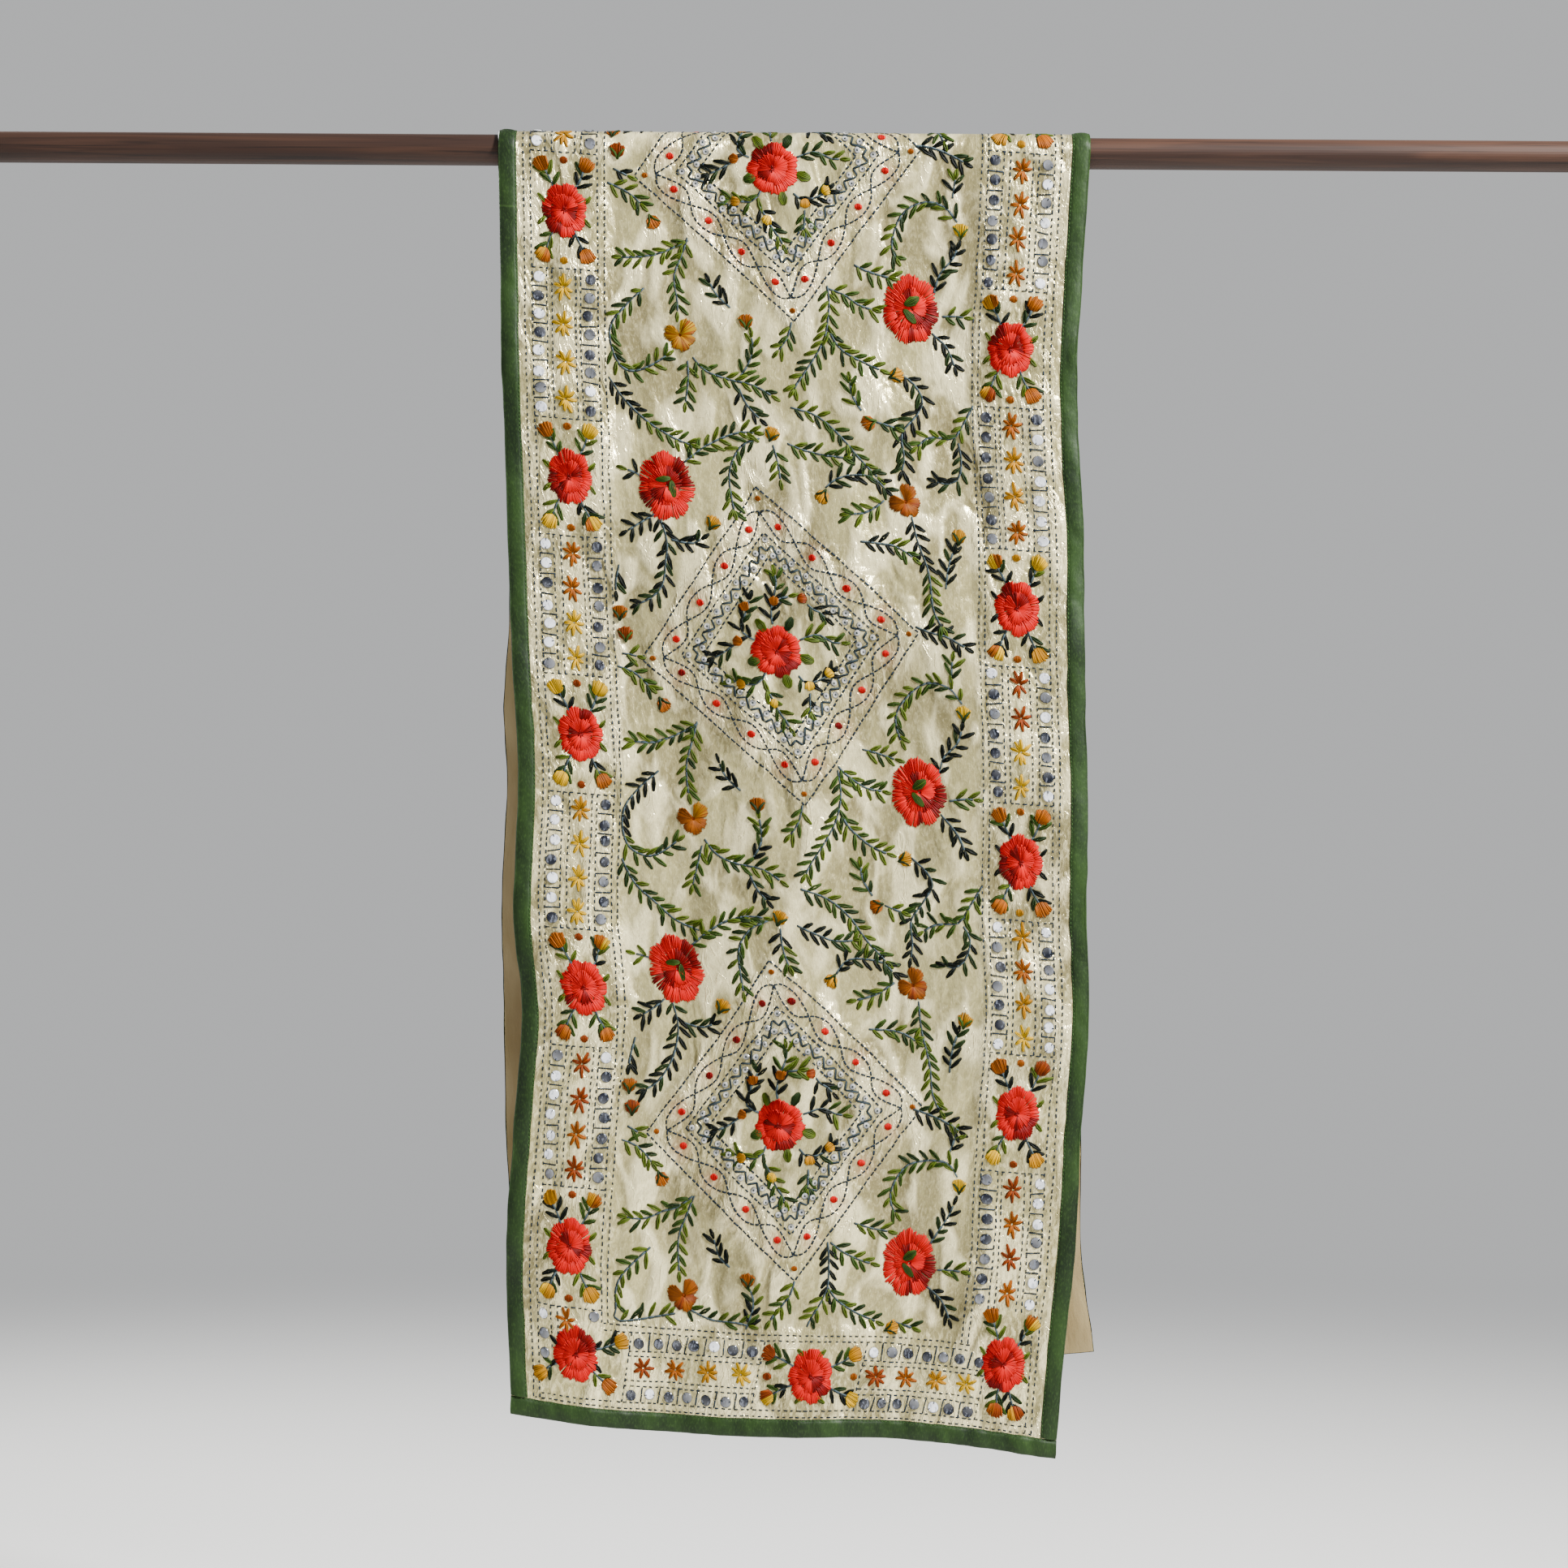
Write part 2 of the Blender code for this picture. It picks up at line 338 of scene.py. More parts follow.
def drapedPiece(name, columns, rowCounts, liftAt, material, ends=(0.0, cloth["length"])):
    # a closed thin sheet laid on the cloth's form: columns are places across, liftAt lifts its two sides
    rowTotal = sum(rowCounts)
    bm = bmesh.new()
    bmesh.ops.create_grid(bm, x_segments=len(columns) - 1, y_segments=rowTotal, size=0.5)
    wall = bmesh.ops.extrude_face_region(bm, geom=bm.faces[:])
    lifted = [item for item in wall["geom"] if isinstance(item, bmesh.types.BMVert)]
    bmesh.ops.translate(bm, verts=lifted, vec=(0, 0, 1))
    bmesh.ops.recalc_face_normals(bm, faces=bm.faces)
    data = bpy.data.meshes.new(name)
    bm.to_mesh(data)
    bm.free()
    flat = np.empty(len(data.vertices) * 3)
    data.vertices.foreach_get("co", flat)
    flat = flat.reshape(-1, 3)
    column = np.rint((flat[:, 0] + 0.5) * (len(columns) - 1)).astype(int)
    count = np.rint((flat[:, 1] + 0.5) * rowTotal)
    stretches = np.concatenate(([0], np.cumsum(rowCounts)))
    row = np.interp(count, stretches, range(len(stretches)))
    p = np.asarray(columns, float)[column]
    share = np.clip(p / cloth["width"] + 0.5, 0, 1)
    q = alongRows(share, row, ends) if len(rowCounts) == 3 else ends[0] + (ends[1] - ends[0]) * row
    lift = liftAt(column, p, q, flat[:, 2] > 0.5)
    data.vertices.foreach_set("co", onCloth(p, q, lift).ravel())
    uv = data.uv_layers.new(name="flatCloth")
    corner = np.empty(len(data.loops), dtype=np.int32)
    data.loops.foreach_get("vertex_index", corner)
    uv.data.foreach_set("uv", (np.stack((p, q), axis=1)[corner] * mm).ravel())
    data.shade_smooth()
    data.set_sharp_from_angle(angle=math.radians(60))
    data.update()
    data.materials.append(material)
    made = intoScene(name, data)
    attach(made, "root")
    return made, p, q


def evenLift(lifts):
    # the same lifts all over, one for the sheet's inner side and one for its outer side
    def liftAt(column, p, q, isTop):
        return np.where(isTop, lifts[1], lifts[0])

    return liftAt


# cloth materials: a noise is given by its lumps to the metre, detail, roughness and distortion
# the silk's lit tone is a painted highlight and its shaded tone is painted shade, both laid into its colour
silk = {
    "lit": tone(250, 238, 184),
    "middle": tone(182, 172, 120),
    "shaded": tone(134, 124, 84),
    "blush": tone(228, 146, 118),
    "roughness": 0.27,
    "metallic": 0.42,
    "specular": 0.4,
    "patch": ((12, 8, 1), 4, 0.6, 0.5),
    "wrinkle": ((250, 120, 1), 3, 0.55, 0.8),
    "soft": ((36, 17, 1), 2, 0.45, 0.7),
    "crinkle": ((95, 34, 1), 2, 0.5, 1.2),
    "weave": ((900, 300, 1), 3, 0.7),
    "relief": 0.005,
}


def silkMaterial():
    finish = Finish("tissue_silk")
    flat = finish.flatCloth()
    names = ("patch", "wrinkle", "soft", "crinkle", "weave")
    patch, wrinkle, soft, crinkle, weave = [finish.noise(flat, *silk[name]) for name in names]
    quilted = finish.attribute("quilted")
    # thin creases run where the crinkle noise passes its middle, and only here and there
    crease = finish.between(finish.distance(crinkle - 0.5), 0.05, 0.0)
    crease = crease * finish.between(soft + quilted * 0.14, 0.54, 0.68)
    # painted shade: broad patches of the shaded tone under the middle one
    colour = finish.mix(finish.between(patch, 0.34, 0.62), silk["shaded"], silk["middle"])
    # each mask lays its tone over what is there: lit as a painted highlight on wrinkle ridges, soft folds
    # and the weave, shaded as painted shade in wrinkle valleys and the weave
    for mask, name in (
        (finish.between(wrinkle, 0.48, 0.64) * (quilted * 0.34 + 0.16), "lit"),
        (finish.between(soft, 0.46, 0.62) * 0.9, "lit"),
        (finish.between(wrinkle, 0.47, 0.36) * (quilted * 0.36 + 0.06), "shaded"),
        (finish.between(weave, 0.54, 0.4) * 0.2, "shaded"),
        (finish.between(weave, 0.53, 0.66) * 0.25, "lit"),
        (finish.attribute("blush"), "blush"),
    ):
        colour = finish.mix(mask, colour, silk[name])
    height = wrinkle * (quilted * 0.2 + 0.1) + patch * 1.6 + soft * (quilted * 0.6 + 1.5)
    height = height + crease * 0.1 + weave * 0.04
    return finish.surface(
        Base_Color=colour,
        Roughness=finish.between(wrinkle, 0.2, 0.9) * 0.18 + (silk["roughness"] - 0.09),
        Metallic=silk["metallic"],
        Specular_IOR_Level=silk["specular"],
        Normal=finish.bump(height, 1.0, silk["relief"]),
    )


lining = {
    "colour": tone(134, 115, 76),
    "pale": tone(156, 139, 99),
    "roughness": 0.45,
    "broad": ((22, 7, 1), 4),
    "fine": ((120, 40, 1), 4),
    "relief": 0.002,
}


def liningMaterial():
    finish = Finish("lining")
    flat = finish.flatCloth()
    broad, fine = [finish.noise(flat, *lining[name]) for name in ("broad", "fine")]
    colour = finish.mix(finish.between(broad, 0.3, 0.7), lining["colour"], lining["pale"])
    bump = finish.bump(fine + broad, 0.35, lining["relief"])
    return finish.surface(Base_Color=colour, Roughness=lining["roughness"], Normal=bump)


satin = {
    "colour": tone(33, 55, 18),
    "deep": tone(16, 30, 10),
    "sheen": tone(58, 84, 36),
    "roughness": 0.52,
    "specular": 0.2,
    "broad": ((40, 16, 1), 4),
    "grain": ((700, 300, 1), 3),
    "relief": 0.0015,
    "join": 0.967,
}


def satinMaterial():
    finish = Finish("green_satin")
    flat = finish.flatCloth()
    broad, grain = [finish.noise(flat, *satin[name]) for name in ("broad", "grain")]
    colour = finish.mix(finish.between(broad, 0.3, 0.72), satin["deep"], satin["colour"])
    colour = finish.mix(finish.between(grain, 0.46, 0.78) * 0.4, colour, satin["sheen"])
    # the left band is joined once, a little under the rod; the join is drawn as a thin line of the sheen
    # tone, a painted highlight
    across = finish.node("SeparateXYZ", None, {0: flat})
    along = Wire(finish, across.socket.node.outputs[1])
    nearJoin = finish.between(finish.distance(along - satin["join"]), 0.0012, 0.0004)
    onLeft = finish.between(across, -0.2, -0.21)
    colour = finish.mix(nearJoin * onLeft * 0.35, colour, satin["sheen"])
    return finish.surface(
        Base_Color=colour,
        Roughness=satin["roughness"],
        Specular_IOR_Level=satin["specular"],
        Normal=finish.bump(grain * 0.3 + broad, 0.4, satin["relief"]),
    )


walnut = {
    "pale": tone(62, 40, 29),
    "middle": tone(43, 27, 20),
    "dark": tone(24, 15, 11),
    "roughness": 0.5,
    "specular": 0.25,
    "flow": ((3.0, 55, 55), 3, 0.55, 1.4),
    "lines": ((5, 260, 260), 4, 0.55, 1.1),
    "relief": 0.0006,
}


def walnutMaterial():
    finish = Finish("walnut")
    place = finish.node("TexCoord", None, None, output=3)
    flow, lines = [finish.noise(place, *walnut[name]) for name in ("flow", "lines")]
    colour = finish.mix(finish.between(flow, 0.36, 0.62), walnut["middle"], walnut["pale"])
    colour = finish.mix(finish.between(lines, 0.5, 0.7) * 0.85, colour, walnut["dark"])
    return finish.surface(
        Base_Color=colour,
        Roughness=walnut["roughness"],
        Specular_IOR_Level=walnut["specular"],
        Normal=finish.bump(lines, 0.12, walnut["relief"]),
    )


# the sheets
halfWidth = cloth["width"] / 2
sheetMesh = {
    "faceColumns": 118,
    "faceRows": (148, 18, 138),
    "liningColumns": 70,
    "liningRows": (88, 14, 82),
}
quilting = {"border": 92.0, "sideFade": 8.0, "hemFade": 10.0, "frame": (0.44, 1.1), "frameFade": 0.1}


def evenColumns(low, high, count):
    # count is how many strips lie between the columns
    return np.linspace(low, high, count + 1)


def pointNumbers(made, name, values):
    # one number for each point, which the silk's material reads
    made.data.attributes.new(name, "FLOAT", "POINT").data.foreach_set("value", values)


def buildFace(material):
    columns = evenColumns(-halfWidth, halfWidth, sheetMesh["faceColumns"])
    lift = evenLift(cloth["faceLift"])
    face, p, q = drapedPiece("silk_face", columns, sheetMesh["faceRows"], lift, material)
    # the silk is a little pink beside each red dot
    blush = np.zeros(len(p))
    for across, along, reach, strength in blushSpots:
        near = np.exp(-((p - across) ** 2 + (q - along) ** 2) / reach ** 2)
        blush = np.maximum(blush, strength * near)
    pointNumbers(face, "blush", blush)
    # the cloth puckers where the sewing is dense: in the borders and in each diamond's frame
    fromHem = np.minimum(q, cloth["length"] - q)
    bySides = ease((np.abs(p) - halfWidth + quilting["border"]) / quilting["sideFade"])
    quilted = np.maximum(bySides, ease((quilting["border"] - fromHem) / quilting["hemFade"]))
    turn = np.linalg.inv(np.stack((diamond["across"], diamond["up"]), axis=1))
    inner, outer = quilting["frame"]
    fade = quilting["frameFade"]
    for centre in diamond["centres"]:
        share = np.abs((np.stack((p, q), axis=1) - centre) @ turn.T).sum(axis=1)
        quilted = np.maximum(quilted, ease((share - inner) / fade) * ease((outer - share) / fade))
    pointNumbers(face, "quilted", quilted)
    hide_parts("face_panel")


def buildLining(material):
    columns = evenColumns(-halfWidth, halfWidth, sheetMesh["liningColumns"])
    lift = evenLift(cloth["liningLift"])
    made = drapedPiece("silk_lining", columns, sheetMesh["liningRows"], lift, material)[0]
    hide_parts("lining")


band = {
    "width": 14.0,
    "wrap": 0.7,
    # rows inward from the outer edge: how far in, upper lift and lower lift
    "profile": (
        (-0.7, 2.2, 1.3), (-0.1, 3.1, 2.36), (0.7, 3.0, 2.36), (1.5, 3.3, 2.36), (3.5, 3.75, 2.36),
        (6.0, 3.95, 2.36), (8.5, 3.9, 2.36), (10.8, 3.7, 2.36), (12.2, 3.25, 2.36), (12.9, 2.7, 2.36),
        (13.5, 2.9, 2.36), (14.0, 2.5, 2.36),
    ),
    "pucker": 0.15,
    "puckerWaves": (9.0, 13.0, 17.0, 26.0),
    "seam": 0.3,
    "sideRows": (230, 18, 212),
    "hemColumns": 160,
    "hemRows": 14,
}
bandDepth = np.array(band["profile"])


def bandPucker(along, aside, seed):
    waves = np.random.default_rng(seed)
    lift = np.zeros_like(along)
    for wave in band["puckerWaves"]:
        lift += np.sin(2 * math.pi * along / wave + aside * 0.25 + waves.uniform(0, 6))
    return lift * band["pucker"]


def crownAt(share):
    # 1 along the band's middle and 0 at its edges
    return 1 - np.abs(share * 2 - 1) ** 3


def buildSideBand(name, side, material, node):
    profile = bandDepth if side < 0 else bandDepth[::-1]

    def liftAt(column, p, q, isTop):
        crown = crownAt(profile[column, 0] / band["width"])
        upper = profile[column, 1] + crown * bandPucker(q, p, 11 + side)
        return np.where(isTop, upper, profile[column, 2])

    columns = side * (halfWidth - profile[:, 0])
    start = band["width"] + band["seam"]
    ends = (start, cloth["length"] - start)
    made = drapedPiece(name, columns, band["sideRows"], liftAt, material, ends)[0]
    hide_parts(node)


def buildHemBand(name, atBack, material, node):
    length = cloth["length"]
    depths, uppers, lowers = bandDepth.T

    def liftAt(column, p, q, isTop):
        depth = length - q if atBack else q
        crown = crownAt(np.clip(depth / band["width"], 0, 1))
        upper = np.interp(depth, depths, uppers) + crown * bandPucker(p, q, 23 + atBack)
        return np.where(isTop, upper, np.interp(depth, depths, lowers))

    reach = halfWidth + band["wrap"]
    columns = evenColumns(-reach, reach, band["hemColumns"])
    low, high = -band["wrap"], band["width"]
    ends = (length - high, length - low) if atBack else (low, high)
    made = drapedPiece(name, columns, (band["hemRows"],), liftAt, material, ends)[0]
    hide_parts(node)


# stitches: small closed shapes laid out flat, then wrapped onto the cloth
def takeApart(bm, turn=0.0):
    # a small shape's triangles, as arrays of points and of point numbers
    bmesh.ops.triangulate(bm, faces=bm.faces)
    bmesh.ops.recalc_face_normals(bm, faces=bm.faces)
    bm.verts.ensure_lookup_table()
    bmesh.ops.rotate(bm, verts=bm.verts, matrix=Matrix.Rotation(turn, 3, "Z"))
    points = np.array([vert.co[:] for vert in bm.verts])
    faces = np.array([[vert.index for vert in face.verts] for face in bm.faces])
    bm.free()
    return points, faces


def ballTemplate(sides, rings, bluntness, dive):
    # a slim thread: x runs along it, y across and z up, each from -1 to 1; its tips dive into the cloth
    bm = bmesh.new()
    bmesh.ops.create_uvsphere(bm, u_segments=sides, v_segments=rings + 1, radius=1)
    points, faces = takeApart(bm, turn=math.pi / 2)
    radius = np.hypot(points[:, 0], points[:, 1])
    wide = np.where(radius > 1e-6, radius ** bluntness / np.maximum(radius, 1e-6), 0)
    along = np.sign(points[:, 2]) * np.abs(points[:, 2]) ** bluntness
    shape = np.stack((along, points[:, 0] * wide, points[:, 1] * wide), axis=1)
    shape[radius < 1e-6, 2] = -dive
    return shape, faces


def discTemplate(sides, inner, pit=0.0):
    # a shallow disc: x and y across it, z from -1 to 1, with a pit in its middle if one is asked for
    bm = bmesh.new()
    bmesh.ops.create_cone(bm, cap_ends=True, segments=sides, radius1=1, radius2=inner, depth=2)
    if pit:
        top = [face for face in bm.faces if face.calc_center_median().z > 0.9]
        for thickness, depth in ((inner - pit, 0), (0.02, -1.2)):
            bmesh.ops.inset_region(bm, faces=top, thickness=thickness, depth=depth, use_even_offset=True)
    return takeApart(bm)


strand = ballTemplate(3, 3, 0.45, 0.7)
dash = ballTemplate(3, 2, 0.4, 0.6)
disc = discTemplate(16, 0.82)
cup = discTemplate(10, 0.8, pit=0.34)


class Pile:
    # stitches of one kind that end up as one piece
    def __init__(self, name, template, grooveShade=0.56):
        self.name = name
        self.grooveShade = grooveShade
        self.shape, self.faces = template
        self.rows = []

    def add(self, start, end, width, height, colour, lift=0.0, endLift=None, bend=0.0):
        # a row holds start, end, width, height, lift, lift at the end, bend and colour
        start = np.atleast_2d(np.asarray(start, float))
        end = np.atleast_2d(np.asarray(end, float))
        row = np.empty((max(len(start), len(end)), 12))
        row[:, 0:2] = start
        row[:, 2:4] = end
        row[:, 4] = width
        row[:, 5] = height
        row[:, 6] = lift
        row[:, 7] = lift if endLift is None else endLift
        row[:, 8] = bend
        row[:, 9:12] = colour
        self.rows.append(row)

    def placed(self, rows):
        shape = self.shape[None]
        start, end = rows[:, None, 0:2], rows[:, None, 2:4]
        run = end - start
        direction = run / np.maximum(np.linalg.norm(run, axis=-1, keepdims=True), 1e-6)
        square = np.stack((-direction[..., 1], direction[..., 0]), axis=-1)
        way = (shape[..., 0] + 1) / 2
        aside = shape[..., 1] * rows[:, None, 4] / 2 + rows[:, None, 8] * (1 - shape[..., 0] ** 2)
        flat = start + run * way[..., None] + square * aside[..., None]
        rise = rows[:, None, 6] + (rows[:, None, 7] - rows[:, None, 6]) * way
        rise = rise + (shape[..., 2] * 0.5 + 0.4) * rows[:, None, 5]
        return onCloth(flat[..., 0], flat[..., 1], faceTop + rise)

    def sew(self, material, jitter=0.13):
        rows = np.concatenate(self.rows)
        # no two stitches are quite as thick
        rows[:, 4:6] *= 1 + draw.normal(0, 0.08, (len(rows), 2))
        points = self.placed(rows)
        colours = rows[:, 9:12] * (1 + draw.normal(0, jitter, (len(rows), 1)))
        # painted shade: a thread is darker down in the groove beside the next one, and a touch lighter on
        # its crown as a painted highlight
        grooveShade = np.interp(self.shape[:, 2], (-0.6, 0.9), (self.grooveShade, 1.05))
        colours = (colours[:, None] * grooveShade[None, :, None]).reshape(-1, 3)
        colours = np.clip(colours, 0.001, 0.95)
        joinedPiece(self.name, points, self.faces, colours, material)


def joinedPiece(name, points, faces, colours, material, crease=None):
    count, size = points.shape[:2]
    allFaces = (faces[None] + np.arange(count)[:, None, None] * size).reshape(-1, 3)
    data = bpy.data.meshes.new(name)
    data.from_pydata(points.reshape(-1, 3).tolist(), [], allFaces.tolist())
    paint = data.color_attributes.new("threadColour", "FLOAT_COLOR", "POINT")
    paint.data.foreach_set("color", np.hstack((colours, np.ones((len(colours), 1)))).ravel())
    data.shade_smooth()
    if crease:
        data.set_sharp_from_angle(angle=math.radians(crease))
    data.update()
    data.materials.append(material)
    made = intoScene(name, data)
    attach(made, "root")
    print(f"{name}: {count} shapes, {len(allFaces)} triangles")


def pointsAlong(route, distances):
    steps = np.linalg.norm(np.diff(route, axis=0), axis=1)
    reached = np.concatenate(([0], np.cumsum(steps)))
    distances = np.clip(distances, 0, reached[-1])
    return np.stack([np.interp(distances, reached, route[:, k]) for k in (0, 1)], axis=1)


def routeLength(route):
    return np.linalg.norm(np.diff(route, axis=0), axis=1).sum()


def smoothRoute(points):
    # a soft curve through the given points
    points = np.asarray(points, float)
    around = np.vstack((2 * points[0] - points[1], points, 2 * points[-1] - points[-2]))
    pieces = []
    t = np.linspace(0, 1, 10, endpoint=False)[:, None]
    for k in range(len(points) - 1):
        a, b, c, d = around[k : k + 4]
        bow = (2 * a - 5 * b + 4 * c - d) * t ** 2 + (3 * b - a - 3 * c + d) * t ** 3
        pieces.append((2 * b + (c - a) * t + bow) / 2)
    return np.vstack(pieces + [points[-1:]])


def unit(angle):
    return np.stack((np.cos(angle), np.sin(angle)), axis=-1)


def heading(way):
    return math.atan2(way[1], way[0])


def anyAngle(count=None):
    return draw.uniform(0, 6.28, count)


# thread colours
threads = {
    "scarlet": tone(179, 0, 5),
    "crimson": tone(104, 0, 5),
    "rust": tone(114, 46, 0),
    "ochre": tone(130, 67, 0),
    "mustard": tone(154, 105, 0),
    "yellow": tone(178, 139, 2),
    "olive": tone(62, 76, 12),
    "grass": tone(40, 60, 12),
    "moss": tone(24, 40, 12),
    "black": tone(8, 14, 8),
    "stem": tone(58, 71, 76),
    "running": tone(28, 39, 50),
    "seam": tone(52, 78, 38),
}


def threadMaterial():
    finish = Finish("floss")
    colour = finish.attribute("threadColour", output=0)
    return finish.surface(Base_Color=colour, Roughness=0.55, Specular_IOR_Level=0.1)


petals = Pile("border_flowers", strand, grooveShade=0.74)
poppies = Pile("field_flowers", strand, grooveShade=0.74)
buds = Pile("buds", strand)
fieldLeaves = Pile("field_leaves", strand)
borderLeaves = Pile("border_leaves", strand)
stems = Pile("stems", dash)
running = Pile("running_stitches", dash)
zigzags = Pile("zigzag_lines", dash)
starRays = Pile("stars", strand)
seams = Pile("band_stitches", dash)

stitch = {
    "dash": 3.2,
    "gap": 2.2,
    "width": 1.5,
    "height": 0.6,
    "backStitch": 6.0,
    "backWidth": 2.4,
    # how unevenly a hand sets them
    "wobble": 0.5,
    "drift": 0.35,
    "startScatter": 0.1,
    "lengthScatter": (0.25, 0.4),
    "tilt": 0.12,
}


def runLine(route, wobble=stitch["wobble"], dashLength=stitch["dash"], gap=stitch["gap"],
            width=stitch["width"]):
    # a line of running stitches along a route
    route = np.asarray(route, float)
    count = max(int(round((routeLength(route) + gap) / (dashLength + gap))), 1)
    pitch = (routeLength(route) + gap) / count
    starts = np.arange(count) * pitch + draw.normal(0, gap * stitch["startScatter"], count)
    share, most = stitch["lengthScatter"]
    lengths = pitch - gap + draw.normal(0, min(gap * share, most), count)
    begin = pointsAlong(route, starts)
    end = pointsAlong(route, starts + lengths)
    drift = np.cumsum(draw.normal(0, wobble * stitch["drift"], (count, 2)), axis=0)
    drift = wobble * np.tanh(drift / wobble)
    tilt = draw.normal(0, stitch["tilt"], (count, 2))
    running.add(begin + drift - tilt, end + drift + tilt, width, stitch["height"], threads["running"])


def backLine(pile, route, colour, width=stitch["backWidth"], step=stitch["backStitch"]):
    # a solid line of stitches that follow each other end to end and overlap a little
    length = routeLength(route)
    marks = np.linspace(0, length, max(int(round(length / step)), 1) + 1)
    begin = pointsAlong(route, marks[:-1] - 0.3)
    end = pointsAlong(route, marks[1:] + 0.5)
    pile.add(begin, end, width, stitch["height"], colour, lift=0.05)


def crossLine(start, end):
    # the long stitches that close a mirror's box
    jog = draw.normal(0, 0.5, (2, 2))
    backLine(running, np.array((start, end)) + jog, threads["running"], width=1.6)


bandSeam = {"depth": 12.9, "dash": 2.4, "pitch": 3.3, "width": 0.9, "height": 0.5, "lift": 0.4}


def bandSeams():
    # the bands' own sewing, in the groove along their inner edges
    depth, length = bandSeam["depth"], cloth["length"]
    side, low = halfWidth - depth, band["width"] + 1
    lines = [((place, low), (place, length - low)) for place in (-side, side)]
    lines += [((-halfWidth, place), (halfWidth, place)) for place in (depth, length - depth)]
    width, height, lift = bandSeam["width"], bandSeam["height"], bandSeam["lift"]
    for route in np.array(lines):
        marks = np.arange(1, routeLength(route) - 3, bandSeam["pitch"])
        begin, end = pointsAlong(route, marks), pointsAlong(route, marks + bandSeam["dash"])
        seams.add(begin, end, width, height, threads["seam"], lift=lift)


leaf = {
    "length": 12.1,
    "width": 4.3,
    "angle": 40.0,
    "stitchWidth": 0.56,
    "bow": 0.24,
    "height": 0.9,
    # how much lighter one half and darker the other is painted, as painted light and shade
    "shade": 0.14,
}


def leafStitches(pile, base, angle, length, colour):
    # a pointed leaf is two bowed stitches with a groove between them
    base = np.atleast_2d(base)
    tip = base + np.atleast_2d(unit(angle)) * np.asarray(length).reshape(-1, 1)
    width, height = leaf["width"] * leaf["stitchWidth"], leaf["height"]
    # painted light: one stitch is painted lighter and the other darker, as a lit and a shaded half
    for side in (-1, 1):
        shade = colour * (1 + leaf["shade"] * side)
        pile.add(base, tip, width, height, shade, bend=side * leaf["width"] * leaf["bow"])


# a broad leaf's numbers are shares of its width, but for its strands, its stagger and its shade
broadLeaf = {"strands": 6, "spread": 0.17, "stitchWidth": 0.24, "bow": 0.3, "stagger": 0.06, "shade": 0.16}


def wideLeaf(pile, base, angle, length, width, colour, lift=0.1):
    # a broad leaf of bowed stitches that run from its foot to its tip
    direction, square = unit(angle), unit(angle + math.pi / 2)
    for share in np.linspace(-1, 1, broadLeaf["strands"]):
        aside = square * share * width * broadLeaf["spread"]
        short = direction * length * broadLeaf["stagger"] * share * share
        shade = colour * (1 + draw.normal(0, broadLeaf["shade"]))
        begin, end = base + aside + short, base + direction * length + aside - short
        bend = share * width * broadLeaf["bow"]
        pile.add(begin, end, width * broadLeaf["stitchWidth"], 1.0, shade, lift=lift, bend=bend)


petal = {"width": 1.5, "height": 0.95, "corners": 0.24, "rag": 0.035, "startScatter": 0.05}


def fan(centre, middle, spread, reach, count, colour, lift, endLift):
    # strands that spread from near a centre to a ragged rim; reach is where they start and end
    aside = np.linspace(-1, 1, count)
    rays = unit(middle + aside * spread / 2)
    rim = reach[1] * (1 - petal["corners"] * aside ** 4 + draw.normal(0, petal["rag"], count))
    start = reach[0] * (1 + draw.normal(0, petal["startScatter"], count))
    begin, end = centre + rays * start[:, None], centre + rays * rim[:, None]
    poppies.add(begin, end, petal["width"], petal["height"], colour, lift=lift, endLift=endLift)


# rings of strands: where they start and end as shares of the radii, how many there are, their width, their
# lift at both ends, the rim's raggedness and its lobes
flowerRings = {
    "outer": ((0.5, 1.0), 110, 1.8, (0.55, 0.0), 0.022, 7),
    "inner": ((0.03, 0.62), 60, 1.6, (0.6, 0.8), 0.06, 4),
    "eye": ((0.0, 0.17), 7, 1.6, (1.0, 0.9), 0.2, 0),
}
ringHand = {"spacing": 0.16, "startScatter": 0.06, "tilt": 0.035, "rim": 0.86, "lobe": 0.17, "height": 0.8}


def ringStrands(pile, centre, radii, ring, dark, turn=0.0, fullness=1.0):
    # a ring of scarlet strands, crimson in the dark sectors, which are given as (middle angle, half width)
    (inner, outer), count, width, (lift, endLift), rag, lobes = ring
    count = int(count * fullness)
    steps = np.arange(count) + draw.normal(0, ringHand["spacing"], count)
    angles = steps * 2 * math.pi / count + turn
    lobed = np.abs(np.sin(lobes / 2 * (angles - turn)))
    rim = outer * (ringHand["rim"] + draw.normal(0, rag, count) + ringHand["lobe"] * np.sqrt(lobed))
    start = inner * (1 + draw.normal(0, ringHand["startScatter"], count))
    ray = unit(angles) * np.asarray(radii)
    ahead = unit(angles + draw.normal(0, ringHand["tilt"], count)) * np.asarray(radii)
    isDark = np.zeros(count, bool)
    for middle, reach in dark:
        isDark |= np.abs((angles - middle + math.pi) % (2 * math.pi) - math.pi) < reach
    shades = np.where(isDark[:, None], threads["crimson"], threads["scarlet"])
    # painted shade: strands darken towards the borders between the lobes, between the petals
    if lobes:
        shades = shades * (0.72 + 0.3 * lobed ** 0.35)[:, None]
    begin, end = centre + ahead * start[:, None], centre + ray * rim[:, None]
    pile.add(begin, end, width, ringHand["height"], shades, lift=lift, endLift=endLift)


flower = {"radii": (18.6, 22.2), "posyRadii": (20.8, 20.8), "posyFullness": 1.1, "innerDark": (0.45, 0.25)}


